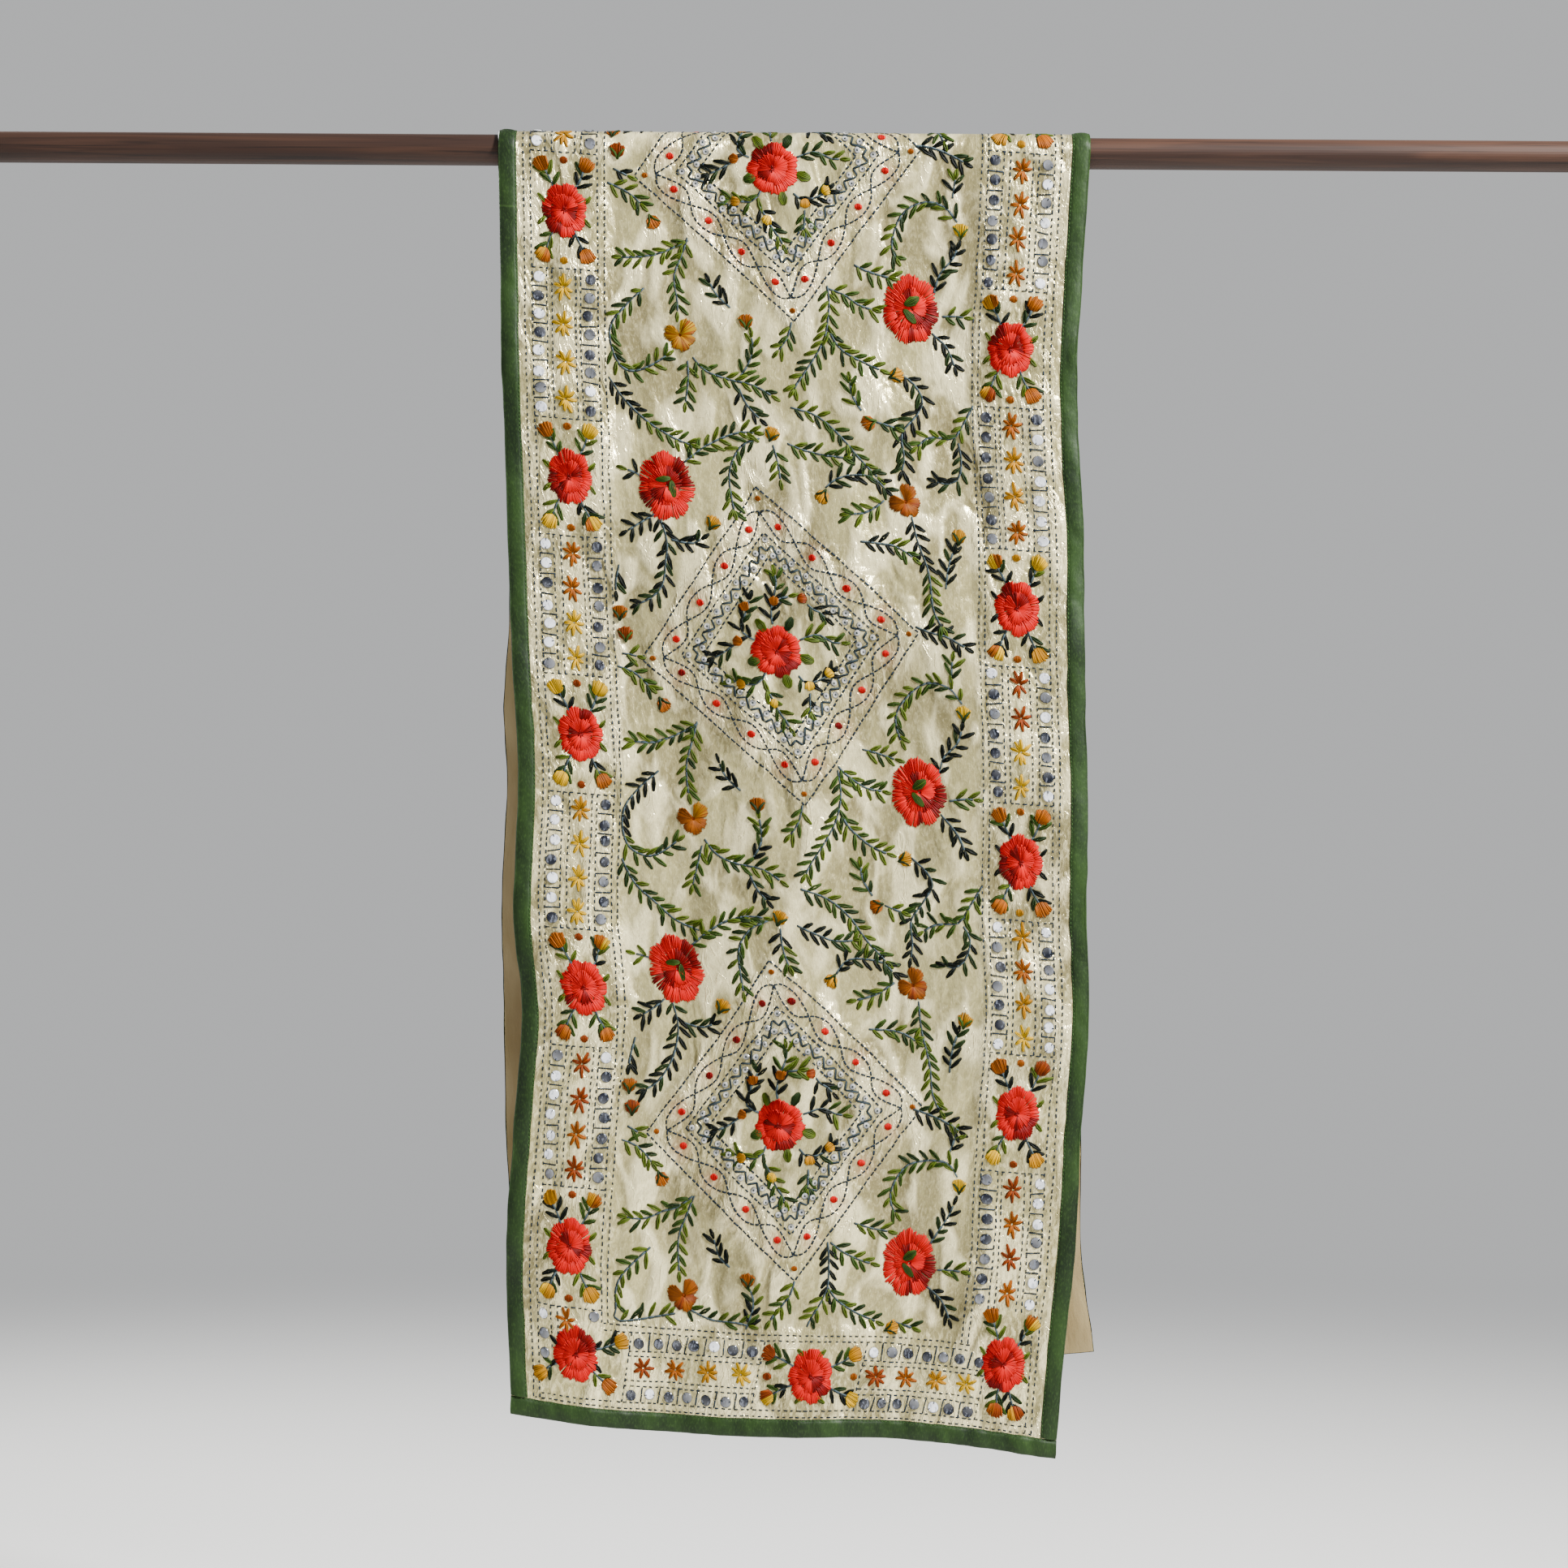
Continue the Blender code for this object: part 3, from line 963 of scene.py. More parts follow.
def roundFlower(centre, radii=flower["radii"], fullness=1.0):
    # an outer ring, a raised inner ring and a small dark eye
    turn = anyAngle()
    outerDark = [(anyAngle(), draw.uniform(0.2, 0.8))]
    innerDark = [(anyAngle(), reach) for reach in flower["innerDark"]]
    ringStrands(petals, centre, radii, flowerRings["outer"], outerDark, turn, fullness)
    ringStrands(petals, centre, radii, flowerRings["inner"], innerDark, turn, fullness)
    ringStrands(petals, centre, radii, flowerRings["eye"], [(0, 2 * math.pi)])


star = {
    "size": (17.6, 23.5),
    "hemSize": (20.0, 19.0),
    "reach": (0.06, 0.95),
    "width": 2.4,
    "height": 0.95,
    "bow": 0.7,
    # how much lighter one side of a loop and darker the other is painted, as painted light and shade
    "shade": 0.14,
}


def starFlower(centre, name, size=star["size"]):
    # seven or eight loops round a middle, as a star
    count = int(draw.integers(7, 9))
    angles = np.arange(count) * 2 * math.pi / count + draw.uniform(0, 0.8) + draw.normal(0, 0.09, count)
    rays = unit(angles) * np.array(size) / 2
    start, rim = star["reach"]
    begin = centre + rays * start
    end = centre + rays * (rim + draw.normal(0, 0.07, (count, 1)))
    # painted light: each loop's two stitches, one painted lighter and one darker, as a lit and a shaded
    # side
    for side in (-1, 1):
        shade = threads[name] * (1 + star["shade"] * side)
        starRays.add(begin, end, star["width"], star["height"], shade, lift=0.05, bend=side * star["bow"])


bud = {
    "strands": 11,
    # the strands' two ends: how far from the bud's middle, half the bud's width there, and how rounded
    "foot": {"reach": 5.0, "width": 3.6, "curve": 1.8},
    "mouth": {"reach": 6.0, "width": 5.4, "curve": 2.4},
    "rag": 0.35,
    "width": 1.9,
    "height": 1.1,
    "shade": 0.16,
    "sepal": {"from": -6.5, "to": 2.2, "aside": 5.6, "width": 2.4, "height": 1.3, "bow": 1.2},
    "fieldSize": 1.08,
    "borderSize": 1.18,
    "posySize": 0.74,
}


def budFan(centre, angle, colour, size, other=None, sepals=None):
    # a tulip-shaped bud: short strands that open outward from its stem
    direction, square = unit(angle), unit(angle + math.pi / 2)
    foot, mouth, sepal = bud["foot"], bud["mouth"], bud["sepal"]
    aside = np.linspace(-1, 1, bud["strands"]) + draw.normal(0, 0.04, bud["strands"])
    reach = mouth["reach"] - mouth["curve"] * aside ** 2 + draw.normal(0, bud["rag"], bud["strands"])
    start = foot["curve"] * aside ** 2 - foot["reach"]

    def at(ahead, wide):
        return centre + (direction * ahead[:, None] + square * (aside * wide)[:, None]) * size

    shades = np.array([other if other is not None and place < -0.2 else colour for place in aside])
    shades = shades * (1 + draw.normal(0, bud["shade"], (bud["strands"], 1)))
    begin, end = at(start, foot["width"]), at(reach, mouth["width"])
    buds.add(begin, end, bud["width"] * size, bud["height"], shades, lift=0.1)
    if sepals is not None:
        heel = centre + direction * sepal["from"] * size
        for side in (-1, 1):
            tip = centre + (direction * sepal["to"] + square * side * sepal["aside"]) * size
            bend = -side * sepal["bow"] * size
            buds.add(heel, tip, sepal["width"] * size, sepal["height"], sepals, lift=0.5, bend=bend)


# a dot of five stitches side by side, in shares of its size
dot = {"spread": 0.36, "reaches": (0.3, 0.46, 0.5, 0.46, 0.3), "width": 0.4, "height": 0.75}


def dotStitches(pile, centre, colour, size):
    places = np.stack((np.linspace(-1, 1, 5) * dot["spread"], dot["reaches"]), axis=1) * size
    pile.add(centre + places * (1, -1), centre + places, size * dot["width"], dot["height"], colour)


vineShape = {
    "pitch": 8.5,
    "firstLeaf": 3.5,
    "stagger": 2.2,
    "tipRoom": 7.5,
    "tipLeaf": 8.8,
    "step": 2.5,
    "markScatter": 0.5,
    "angleScatter": 7.0,
    "lengthScatter": 0.09,
    "darkChance": 0.3,
    "darkShare": (0.3, 0.7),
}


def vine(points, tones, leafPile, inside, tipLeaf=True):
    # a stem with slender leaves in pairs that point towards its tip
    route = smoothRoute(points)
    length = routeLength(route)
    if tipLeaf:
        length = max(length - vineShape["tipRoom"], length * 0.4)
        route = pointsAlong(route, np.linspace(0, length, max(int(length / vineShape["step"]), 4)))
    backLine(stems, route, threads["stem"])
    marks = np.arange(vineShape["firstLeaf"], length - 1.5, vineShape["pitch"])
    marks = marks + draw.normal(0, vineShape["markScatter"], len(marks))
    # some vines start dark and turn green
    isMixed = draw.random() < vineShape["darkChance"]
    darkTo = length * draw.uniform(*vineShape["darkShare"]) if isMixed else 0
    for side in (-1, 1):
        places = marks + (0.0 if side < 0 else vineShape["stagger"])
        ahead = pointsAlong(route, places + 1.5) - pointsAlong(route, places - 1.5)
        angles = np.arctan2(ahead[:, 1], ahead[:, 0])
        turns = leaf["angle"] + draw.normal(0, vineShape["angleScatter"], len(places))
        angles = angles + side * np.radians(turns)
        lengths = leaf["length"] * (1 + draw.normal(0, vineShape["lengthScatter"], len(places)))
        foot = pointsAlong(route, places) + unit(angles) * 0.5
        keep = inside(foot) & inside(foot + unit(angles) * lengths[:, None])
        if keep.any():
            shades = tones[draw.integers(0, len(tones), keep.sum())]
            shades = np.where((places < darkTo)[keep][:, None], threads["black"], shades)
            leafStitches(leafPile, foot[keep], angles[keep], lengths[keep], shades)
    if tipLeaf and inside(route[-1:])[0]:
        angle = heading(route[-1] - route[-3])
        leafStitches(leafPile, route[-1], angle, vineShape["tipLeaf"], tones[0])


def tonesOf(names):
    return np.array([threads[name] for name in names.split()])


leafTones = {"green": tonesOf("olive grass olive grass moss"), "dark": tonesOf("black moss black")}


# the borders
# side borders: depths in from the edge, and places along for the red flowers and for where lines start;
# hem borders, whose names start with end: places along, and places across for the blocks and the corners
border = {
    "wholeLines": (21.0, 26.5, 80.3, 85.5),
    "wholeStarts": (16.3, 16.3, 81.5, 81.5),
    "blockLines": (38.5, 43.7, 62.3, 67.0),
    "mirrorColumns": (31.8, 73.8),
    "starColumn": 53.0,
    "sideShift": 1.2,
    "flowerColumn": 53.5,
    "flowerHalf": 47.0,
    "leftFlowers": (139, 344, 547, 753, 967, 1174, 1380, 1586, 1792),
    "rightFlowers": (271, 472, 675, 883, 1088, 1293, 1498, 1703, 1908),
    "endLines": (16.3, 20.6, 34.3, 38.6, 57.3, 61.5, 76.0, 81.5),
    "endMirrors": (27.0, 68.0),
    "endStars": 48.5,
    "endBlocks": ((-138.0, -24.0), (64.0, 170.0)),
    "endSlant": 0.17,
    "mirrorPitch": 15.9,
    "shortestBlock": 60.0,
    "cornerOverlap": 4.0,
    "part": {
        "firstMirror": 8.0, "pitch": 15.5, "innerMirror": 6.0, "star": 11.0, "starShift": 2.0, "line": 34.0,
    },
    "cornerLeft": (-180.5, 55.0),
    "cornerRight": (187.0, 68.5),
    "cornerBuds": (((38, 13), (27, -22), (-30, -18)), ((-14, 38), (21, 35), (-4, -36.5), (13, -37))),
    "endFlower": (21.0, 48.5),
    "endCount": 7,
    "scatter": 0.7,
    "endScatter": 0.6,
}
mirrorPlaces = []
starTones = {
    -1: ("rust ochre rust rust", "yellow yellow yellow mustard", "yellow yellow ochre ochre",
         "yellow yellow yellow yellow", "mustard ochre ochre ochre", "yellow yellow mustard mustard",
         "rust ochre rust ochre", "mustard mustard yellow yellow", "ochre ochre rust ochre"),
    1: ("ochre rust ochre rust", "yellow mustard ochre mustard", "yellow yellow rust rust",
        "ochre mustard mustard ochre", "ochre ochre ochre ochre", "mustard yellow yellow mustard",
        "ochre rust rust ochre", "yellow yellow ochre ochre", "mustard mustard yellow yellow"),
}
budTones = ("ochre", "mustard", "rust", "ochre", "yellow")
# a red flower's group: places from its middle, and where its sprigs start
group = {
    "buds": ((-18, 36), (17.5, 37), (-17, -36), (18, -35.5)),
    "dot": (-0.5, 40.5),
    "dotSize": 6.4,
    "turnedShare": 0.92,
    "leaf": (15.5, 5.5),
    "leafLength": 9.5,
    "sprigStart": 17.5,
    "turnedStart": 16.5,
    "sprigEnd": 4.5,
    "sprigBow": 0.8,
    "darkChance": 0.45,
    "mixedChance": 0.35,
    "sameChance": 0.7,
}


def sidePlace(side, depth):
    # the place across of a column that lies this deep in from the cloth's edge
    return side * (halfWidth - depth) - border["sideShift"]


def pickTone(names):
    return threads[names[int(draw.integers(0, len(names)))]]


def everywhere(points):
    return np.ones(len(points), bool)


def flowerGroup(centre, turned=False, budPlaces=None):
    # a red flower, sprigs that end in buds, two small dots and pairs of leaves at its sides
    centre = np.asarray(centre, float)
    roundFlower(centre)

    def anyLeaves():
        return leafTones["dark" if draw.random() < group["darkChance"] else "green"]

    def at(x, y):
        return centre + ((y, x) if turned else (x, y))

    budTone = pickTone(budTones)
    for x, y in budPlaces or group["buds"]:
        place = at(x, y)
        away = (place - centre) / np.linalg.norm(place - centre)
        foot = centre + away * group["turnedStart" if turned else "sprigStart"]
        tones = anyLeaves()
        heel = place - away * group["sprigEnd"]
        middle = (foot + heel) / 2 + np.array((away[1], -away[0])) * group["sprigBow"]
        vine((foot, middle, heel), tones, borderLeaves, everywhere, tipLeaf=False)
        other = pickTone(budTones) if draw.random() < group["mixedChance"] else None
        shade = budTone if draw.random() < group["sameChance"] else pickTone(budTones)
        budFan(place, heading(away), shade, bud["borderSize"], other)
    if budPlaces is None:
        x, reach = group["dot"]
        reach = reach * (group["turnedShare"] if turned else 1.0)
        for y in (-reach, reach):
            dotStitches(buds, at(x, y), pickTone(("rust", "ochre", "mustard")), group["dotSize"])
    tones = anyLeaves()
    x, y = group["leaf"]
    for side in (-1, 1):
        for rise in (-1, 1):
            angle = heading(at(side * 1.0, rise * 1.15) - centre)
            leafStitches(borderLeaves, at(side * x, rise * y), angle, group["leafLength"], tones[0])


def uprightLine(side, depth, low, high):
    place = sidePlace(side, depth)
    runLine(((place, low), (place, high)))


def addMirror(place, scatter):
    mirrorPlaces.append(np.array(place) + draw.normal(0, scatter, 2))


def mirrorBlock(side, low, high, number):
    # mirrors in two columns of dashed boxes, with a column of stars between them
    span = high - low
    count = max(int(round(span / border["mirrorPitch"])), 1)
    for depth in border["blockLines"]:
        uprightLine(side, depth, low, high)
    whole, block = border["wholeLines"], border["blockLines"]
    columns = ((whole[1], block[0]), (block[3], whole[2]))
    for (outer, inner), middle in zip(columns, border["mirrorColumns"]):
        for k in range(1, count):
            along = low + span * k / count
            crossLine((sidePlace(side, outer), along), (sidePlace(side, inner), along))
        for k in range(count):
            addMirror((sidePlace(side, middle), low + span * (k + 0.5) / count), border["scatter"])
    names = starTones[side][number].split()
    for k, name in enumerate(names):
        across = sidePlace(side, border["starColumn"]) + draw.normal(0, border["endScatter"])
        starFlower((across, low + span * (k + 0.5) / len(names)), name)


def sideBorder(side):
    length, half = cloth["length"], border["flowerHalf"]
    for depth, low in zip(border["wholeLines"], border["wholeStarts"]):
        uprightLine(side, depth, low, length - low)
    flowers = border["leftFlowers" if side < 0 else "rightFlowers"]
    outer, inner = border["wholeLines"][1:3]
    for along in flowers:
        flowerGroup((sidePlace(side, border["flowerColumn"]), along))
        for edge in (along - half, along + half):
            runLine(((sidePlace(side, outer), edge), (sidePlace(side, inner), edge)))
    for k, (low, high) in enumerate(zip(flowers[:-1], flowers[1:])):
        mirrorBlock(side, low + half, high - half, k + (side > 0))
    # one end of each side border starts with a whole block, the other with a part of one
    near = border["cornerLeft" if side < 0 else "cornerRight"][1]
    far = length - border["cornerRight" if side < 0 else "cornerLeft"][1]
    first, last = flowers[0] - half, flowers[-1] + half
    reach = half - border["cornerOverlap"]
    if first - near > border["shortestBlock"]:
        mirrorBlock(side, near + reach, first, 0)
    else:
        partBlock(side, first, 1)
    if far - last > border["shortestBlock"]:
        mirrorBlock(side, last, far - reach, 8)
    else:
        partBlock(side, last, -1)


def partBlock(side, edge, way):
    # the short stretch beside a corner flower: a column of mirrors, one more mirror and a star
    part = border["part"]
    outer, inner = [sidePlace(side, depth) for depth in border["mirrorColumns"]]
    for k in range(3):
        mirrorPlaces.append((outer, edge - way * (part["firstMirror"] + part["pitch"] * k)))
    mirrorPlaces.append((inner, edge - way * part["innerMirror"]))
    middle = sidePlace(side, border["starColumn"] - part["starShift"])
    starFlower((middle, edge - way * part["star"]), "ochre")
    for depth in border["blockLines"][:2]:
        uprightLine(side, depth, edge, edge - way * part["line"])


def endBorder(atBack):
    # the border along a hem; the back one is the front one turned half round
    lines, whole, count = border["endLines"], border["wholeLines"], border["endCount"]

    def at(p, q):
        return (-p, cloth["length"] - q) if atBack else (p, q)

    def slanted(p, q):
        return at(p + border["endSlant"] * (q - border["endStars"]), q)

    for q, depth in zip((*lines[:2], *lines[6:]), (*whole[:2], whole[2], whole[2])):
        runLine((at(depth - halfWidth, q), at(halfWidth - depth, q)))
    rows = ((border["endMirrors"][0], *lines[1:3]), (border["endMirrors"][1], *lines[5:7]))
    for low, high in border["endBlocks"]:
        for q in lines[2:6]:
            runLine((slanted(low, q), slanted(high, q)))
        for p in (low, high):
            runLine((slanted(p, lines[1]), slanted(p, lines[6])))
        for middle, under, over in rows:
            for k in range(count):
                addMirror(slanted(low + (high - low) * (k + 0.5) / count, middle), border["endScatter"])
                if k:
                    cross = low + (high - low) * k / count
                    crossLine(slanted(cross, under), slanted(cross, over))
        for k, name in enumerate(("rust", "ochre", "mustard", "yellow")):
            place = slanted(low + (high - low) * (k + 0.5) / 4, border["endStars"])
            starFlower(place, name, star["hemSize"])
    flowerGroup(at(*border["endFlower"]), turned=True)
    sign = -1 if atBack else 1
    for corner, places in zip(("cornerLeft", "cornerRight"), border["cornerBuds"]):
        flowerGroup(at(*border[corner]), budPlaces=[(x * sign, y * sign) for x, y in places])


# the diamonds
diamond = {
    "across": np.array((115.0, 19.0)),
    "up": np.array((-16.5, 126.0)),
    "centres": ((-12.0, 251.6), (-14.4, 630.4), (-13.4, 1017.8), (-13.0, 1405.0), (-13.0, 1792.0)),
    # each line's share of the way out to the corners, and its stitches' length and gap
    "dashedLines": ((1.0, 4.0, 0.8), (0.71, 3.5, 1.4), (0.55, 3.5, 1.4)),
    "lineWidth": 1.95,
    "waveMiddle": 0.845,
    "waveReach": 0.085,
    "waveStitch": (4.0, 0.5),
    "waveWobble": 0.25,
    "cells": 4,
    "redDot": 6.0,
    "blush": (8.5, 0.24),
    "cornerDot": (0.93, 4.6),
    "teeth": 8,
    "zigzag": (0.592, 0.67),
    "zigzagWidth": 2.5,
    "zigzagDark": 0.55,
}
blushSpots = []
sequinPlaces = []


def diamondSides(centre):
    corners = [diamond["across"], diamond["up"], -diamond["across"], -diamond["up"]]
    for k in range(4):
        yield np.asarray(centre), corners[k], corners[(k + 1) % 4]


def buildDiamond(centre):
    width = diamond["lineWidth"]
    low, high = diamond["zigzag"]
    teeth, cells = diamond["teeth"], diamond["cells"]
    zigzagTone = threads["stem"] * diamond["zigzagDark"]
    for middle, first, second in diamondSides(centre):

        def at(share, t):
            # a place along this side, at a share of the way out from the middle
            t = np.asarray(t, float)[..., None]
            return middle + (first * (1 - t) + second * t) * np.asarray(share, float)[..., None]

        for share, dashLength, gap in diamond["dashedLines"]:
            runLine((at(share, 0), at(share, 1)), dashLength=dashLength, gap=gap, width=width)
        t = np.linspace(0, 1, 40)
        dashLength, gap = diamond["waveStitch"]
        for sign in (-1, 1):
            wave = diamond["waveMiddle"] + sign * diamond["waveReach"] * np.sin(math.pi * cells * t)
            runLine(at(wave, t), diamond["waveWobble"], dashLength, gap, width)
        for k in range(cells):
            spot = at(diamond["waveMiddle"], (k + 0.5) / cells)
            name = "scarlet" if draw.random() < 0.75 else "crimson"
            dotStitches(buds, spot, threads[name], diamond["redDot"])
            blushSpots.append((*(spot + (first + second) * 0.02), *diamond["blush"]))
        share, size = diamond["cornerDot"]
        dotStitches(buds, at(share, 0), threads["ochre"], size)
        for k in range(teeth):
            corners = at(low, k / teeth), at(high, (k + 0.5) / teeth), at(low, (k + 1) / teeth)
            for start, end in zip(corners[:-1], corners[1:]):
                backLine(zigzags, np.stack((start, end)), zigzagTone, diamond["zigzagWidth"], step=9.0)
            sequinPlaces.append(at(low + 0.006, (k + 0.5) / teeth))
            sequinPlaces.append(at(high - 0.002, k / teeth))


# one posy inside a diamond, in millimetres from its middle
posy = {
    "flower": (-3.5, -4.8),
    "scatter": 0.5,
    "paleChance": 0.5,
    "broadLeaves": (
        (-12, 10, 128, 13, 7, "olive"), (5, 12, 66, 13, 7, "moss"), (15, -7, -16, 13, 8, "olive"),
        (4, -22, -78, 12, 7, "olive"), (-17, -12, 200, 11, 8, "grass"),
    ),
    "vines": (
        ("green", ((-6, 16), (-7, 26), (-5, 40), (-3, 52), (-6, 64))),
        ("green", ((-5, 36), (5, 40), (15, 39))),
        ("dark", ((23, 36), (28, 31), (34, 29), (44, 20))),
        ("dark", ((-22, 3), (-32, 9), (-30, 22), (-26, 34), (-26, 43))),
        ("dark", ((-36, -1), (-48, -9), (-62, -16))),
        ("green", ((15, 6), (30, 12), (44, 7), (57, 8))),
        ("green", ((-13, -22), (-19, -32), (-32, -33), (-45, -27))),
        ("green", ((-15, -34), (-9, -42), (-3, -52), (4, -62), (8, -71))),
        ("dark", ((14, -22), (22, -28), (37, -22), (44, -12))),
        ("green", ((23, -36), (23, -46), (22, -60))),
    ),
    "buds": (
        (-5, 35, 95, "ochre"), (18, 39, 10, "rust"), (-29, 29, 110, "ochre"), (-35, 1, 170, "ochre"),
        (-33, -33, 185, "mustard"), (-7, -46, 250, "yellow"), (23, -30, 280, "yellow"),
        (39, -19, 40, "yellow"),
    ),
}


def buildPosy(centre, pale):
    centre = np.asarray(centre, float)
    for kind, route in posy["vines"]:
        shifted = centre + route + draw.normal(0, posy["scatter"], (len(route), 2))
        vine(shifted, leafTones[kind], fieldLeaves, everywhere)
    for x, y, degrees, length, width, name in posy["broadLeaves"]:
        wideLeaf(fieldLeaves, centre + (x, y), math.radians(degrees), length, width, threads[name])
    for x, y, degrees, name in posy["buds"]:
        shade = threads[name]
        if pale and draw.random() < posy["paleChance"]:
            shade = pickTone(("mustard", "yellow"))
        budFan(centre + (x, y), math.radians(degrees), shade, bud["posySize"])
    roundFlower(centre + posy["flower"], flower["posyRadii"], flower["posyFullness"])


fieldHand = {"scatter": 0.9, "mossChance": 0.6, "petalFullness": 17, "ochreChance": 0.3}
# the field's vines, in millimetres from the middle of the diamond above them
fieldVines = (
    ("green", ((-72, -66), (-84, -75), (-98, -81), (-114, -86), (-134, -85))),
    ("green", ((-72, -66), (-76, -81), (-82, -98), (-81, -115), (-79, -132))),
    ("green", ((-137, -26), (-126, -29), (-114, -37), (-105, -47))),
    ("green", ((-132, -14), (-122, -18), (-114, -21))),
    ("green", ((-107, -108), (-124, -124), (-134, -140), (-134, -158), (-127, -173), (-107, -174),
               (-84, -158))),
    ("green", ((-68, -164), (-71, -180), (-76, -204))),
    ("green", ((-67, -160), (-56, -171), (-40, -176), (-16, -180), (4, -192))),
    ("green", ((-28, -175), (-20, -160), (-18, -145), (-22, -134))),
    ("dark", ((-36, -119), (-46, -111), (-53, -102), (-57, -92))),
    ("green", ((16, -126), (12, -140), (1, -155))),
    ("dark", ((-28, -184), (-21, -197), (-9, -210))),
    ("green", ((-136, -180), (-124, -199), (-106, -214), (-86, -227), (-62, -234))),
    ("green", ((-78, -247), (-62, -234), (-45, -223), (-28, -219), (-10, -219))),
    ("green", ((-1, -226), (0, -243), (6, -262))),
    ("green", ((-12, -221), (-28, -229), (-38, -246), (-39, -267), (-35, -288))),
    ("green", ((-112, -259), (-122, -256), (-133, -254))),
    ("dark", ((-103, -289), (-114, -297), (-131, -309))),
    ("dark", ((-98, -290), (-93, -309), (-94, -328), (-99, -346), (-110, -360), (-124, -366))),
    ("dark", ((-89, -308), (-78, -311), (-67, -308), (-60, -301))),
    ("dark", ((-131, 56), (-134, 41), (-134, 28))),
    ("green", ((43, -95), (56, -102), (70, -108), (88, -112))),
    ("green", ((43, -95), (45, -112), (44, -134), (35, -153), (24, -170), (14, -188))),
    ("green", ((45, -129), (54, -142), (70, -153), (94, -161))),
    ("dark", ((106, -163), (117, -169), (124, -181), (117, -196), (106, -211), (106, -230), (102, -248))),
    ("green", ((64, -77), (80, -81), (100, -85))),
    ("dark", ((128, -94), (134, -80), (143, -66), (149, -51))),
    ("green", ((149, -36), (138, -25), (122, -22), (104, -31), (95, -48), (95, -62), (103, -74))),
    ("green", ((141, -17), (144, -5), (145, 6))),
    ("green", ((137, -113), (151, -112), (164, -112))),
    ("dark", ((130, -125), (144, -140), (154, -159))),
    ("green", ((72, -196), (65, -182), (63, -165))),
    ("green", ((85, -201), (95, -205), (105, -209))),
    ("green", ((13, -194), (34, -199), (53, -212), (71, -234), (89, -251))),
    ("green", ((9, -223), (24, -228), (42, -231), (64, -231))),
    ("dark", ((39, -259), (50, -249), (66, -245), (82, -249), (93, -260))),
    ("green", ((89, -263), (72, -273), (50, -281))),
    ("green", ((166, -181), (155, -200), (145, -211), (127, -212), (111, -224))),
    ("dark", ((150, -213), (155, -226), (150, -243), (137, -246), (126, -240))),
    ("green", ((109, -275), (114, -297), (122, -325), (128, -350), (136, -367))),
    ("green", ((66, -300), (94, -301), (115, -312))),
    ("dark", ((137, -332), (139, -315), (146, -295))),
    ("dark", ((110, -363), (122, -366), (138, -370), (157, -379))),
)
# short ones just above the front hem's border, from the lowest diamond
lowVines = (
    ("green", ((-76, -151), (-66, -157), (-50, -161), (-32, -163), (-14, -165))),
    ("green", ((104, -158), (114, -161), (127, -164))),
    ("green", ((4, -150), (-1, -157), (-8, -165))),
)
fieldBuds = (
    (-100, -54, 300, "ochre"), (-23, -129, 95, "ochre"), (-3, -218, 70, "mustard"),
    (-55, -293, 60, "mustard"), (-133, 17, 90, "ochre"), (-129, 0, 90, "rust"),
    (101, -163, 20, "mustard"), (150, -43, 90, "yellow"), (78, -203, 200, "ochre"),
    (37, -265, 240, "mustard"), (148, -289, 80, "mustard"),
)
# place, turn, and whether the tones differ from one stretch of field to the next
butterflies = ((-77, -144, 0.0, True), (105, -264, 0.4, False))
poppyPlaces = ((-92, -266, "left"), (112, -109, "right"))


def inField(points):
    points = np.atleast_2d(points)
    inner = halfWidth - border["wholeLines"][3] + 1
    low = border["endLines"][-1] + 2
    across = np.abs(points[:, 0]) < inner
    return across & (points[:, 1] > low) & (points[:, 1] < cloth["length"] - low)


def clippedVine(route, tones):
    # a vine, or where the borders cut it off, what is left of it
    if inField(route).all():
        vine(route, tones, fieldLeaves, inField)
        return
    curve = smoothRoute(route)
    kept = curve[inField(curve)]
    if len(kept) > 8 and routeLength(kept) > 20:
        vine(kept[::6], tones, fieldLeaves, inField, tipLeaf=False)


poppyRings = {
    "outer": ((0.5, 1.0), 110, 1.9, (0.6, 0.0), 0.025, 7),
    "inner": ((0.02, 0.62), 60, 2.0, (0.5, 0.8), 0.05, 5),
}
poppyShape = {
    "radii": (23.0, 27.8),
    "turns": (0.4, 1.0),
    "fan": {"reach": (1.5, 13.5), "count": 24, "lift": (0.8, 1.1)},
    # dark and hollow are the two rings' dark sectors, fold is the fan's middle and spread
    "right": {
        "dark": ((-0.25, 0.55), (-1.5, 0.15)), "hollow": ((-0.5, 0.7), (1.9, 0.35)), "fold": (0.3, 1.6),
        "leaves": ((-5.5, 2.5, 0.6, 14.5, 7.0), (-5.8, 0.0, -0.82, 15.5, 5.5)),
    },
    "left": {
        "dark": ((0.65, 0.6), (-2.6, 0.3)), "hollow": ((0.7, 0.9), (-2.4, 0.5)), "fold": (-1.0, 1.7),
        "leaves": ((-9.0, 4.5, 0.12, 13.0, 5.0), (4.0, 5.0, -1.45, 15.0, 6.0)),
    },
}


def poppy(centre, kind):
    # a ragged ring, a darker hollow with one fold over it and two green leaves
    shape, folded = poppyShape[kind], poppyShape["fan"]
    rings = zip(("outer", "inner"), ("dark", "hollow"), poppyShape["turns"])
    for name, sectors, turn in rings:
        ringStrands(poppies, centre, poppyShape["radii"], poppyRings[name], shape[sectors], turn)
    fan(centre, *shape["fold"], folded["reach"], folded["count"], threads["scarlet"], *folded["lift"])
    for x, y, angle, length, width in shape["leaves"]:
        wideLeaf(poppies, centre + (x, y), angle, length, width, threads["grass"], lift=1.3)


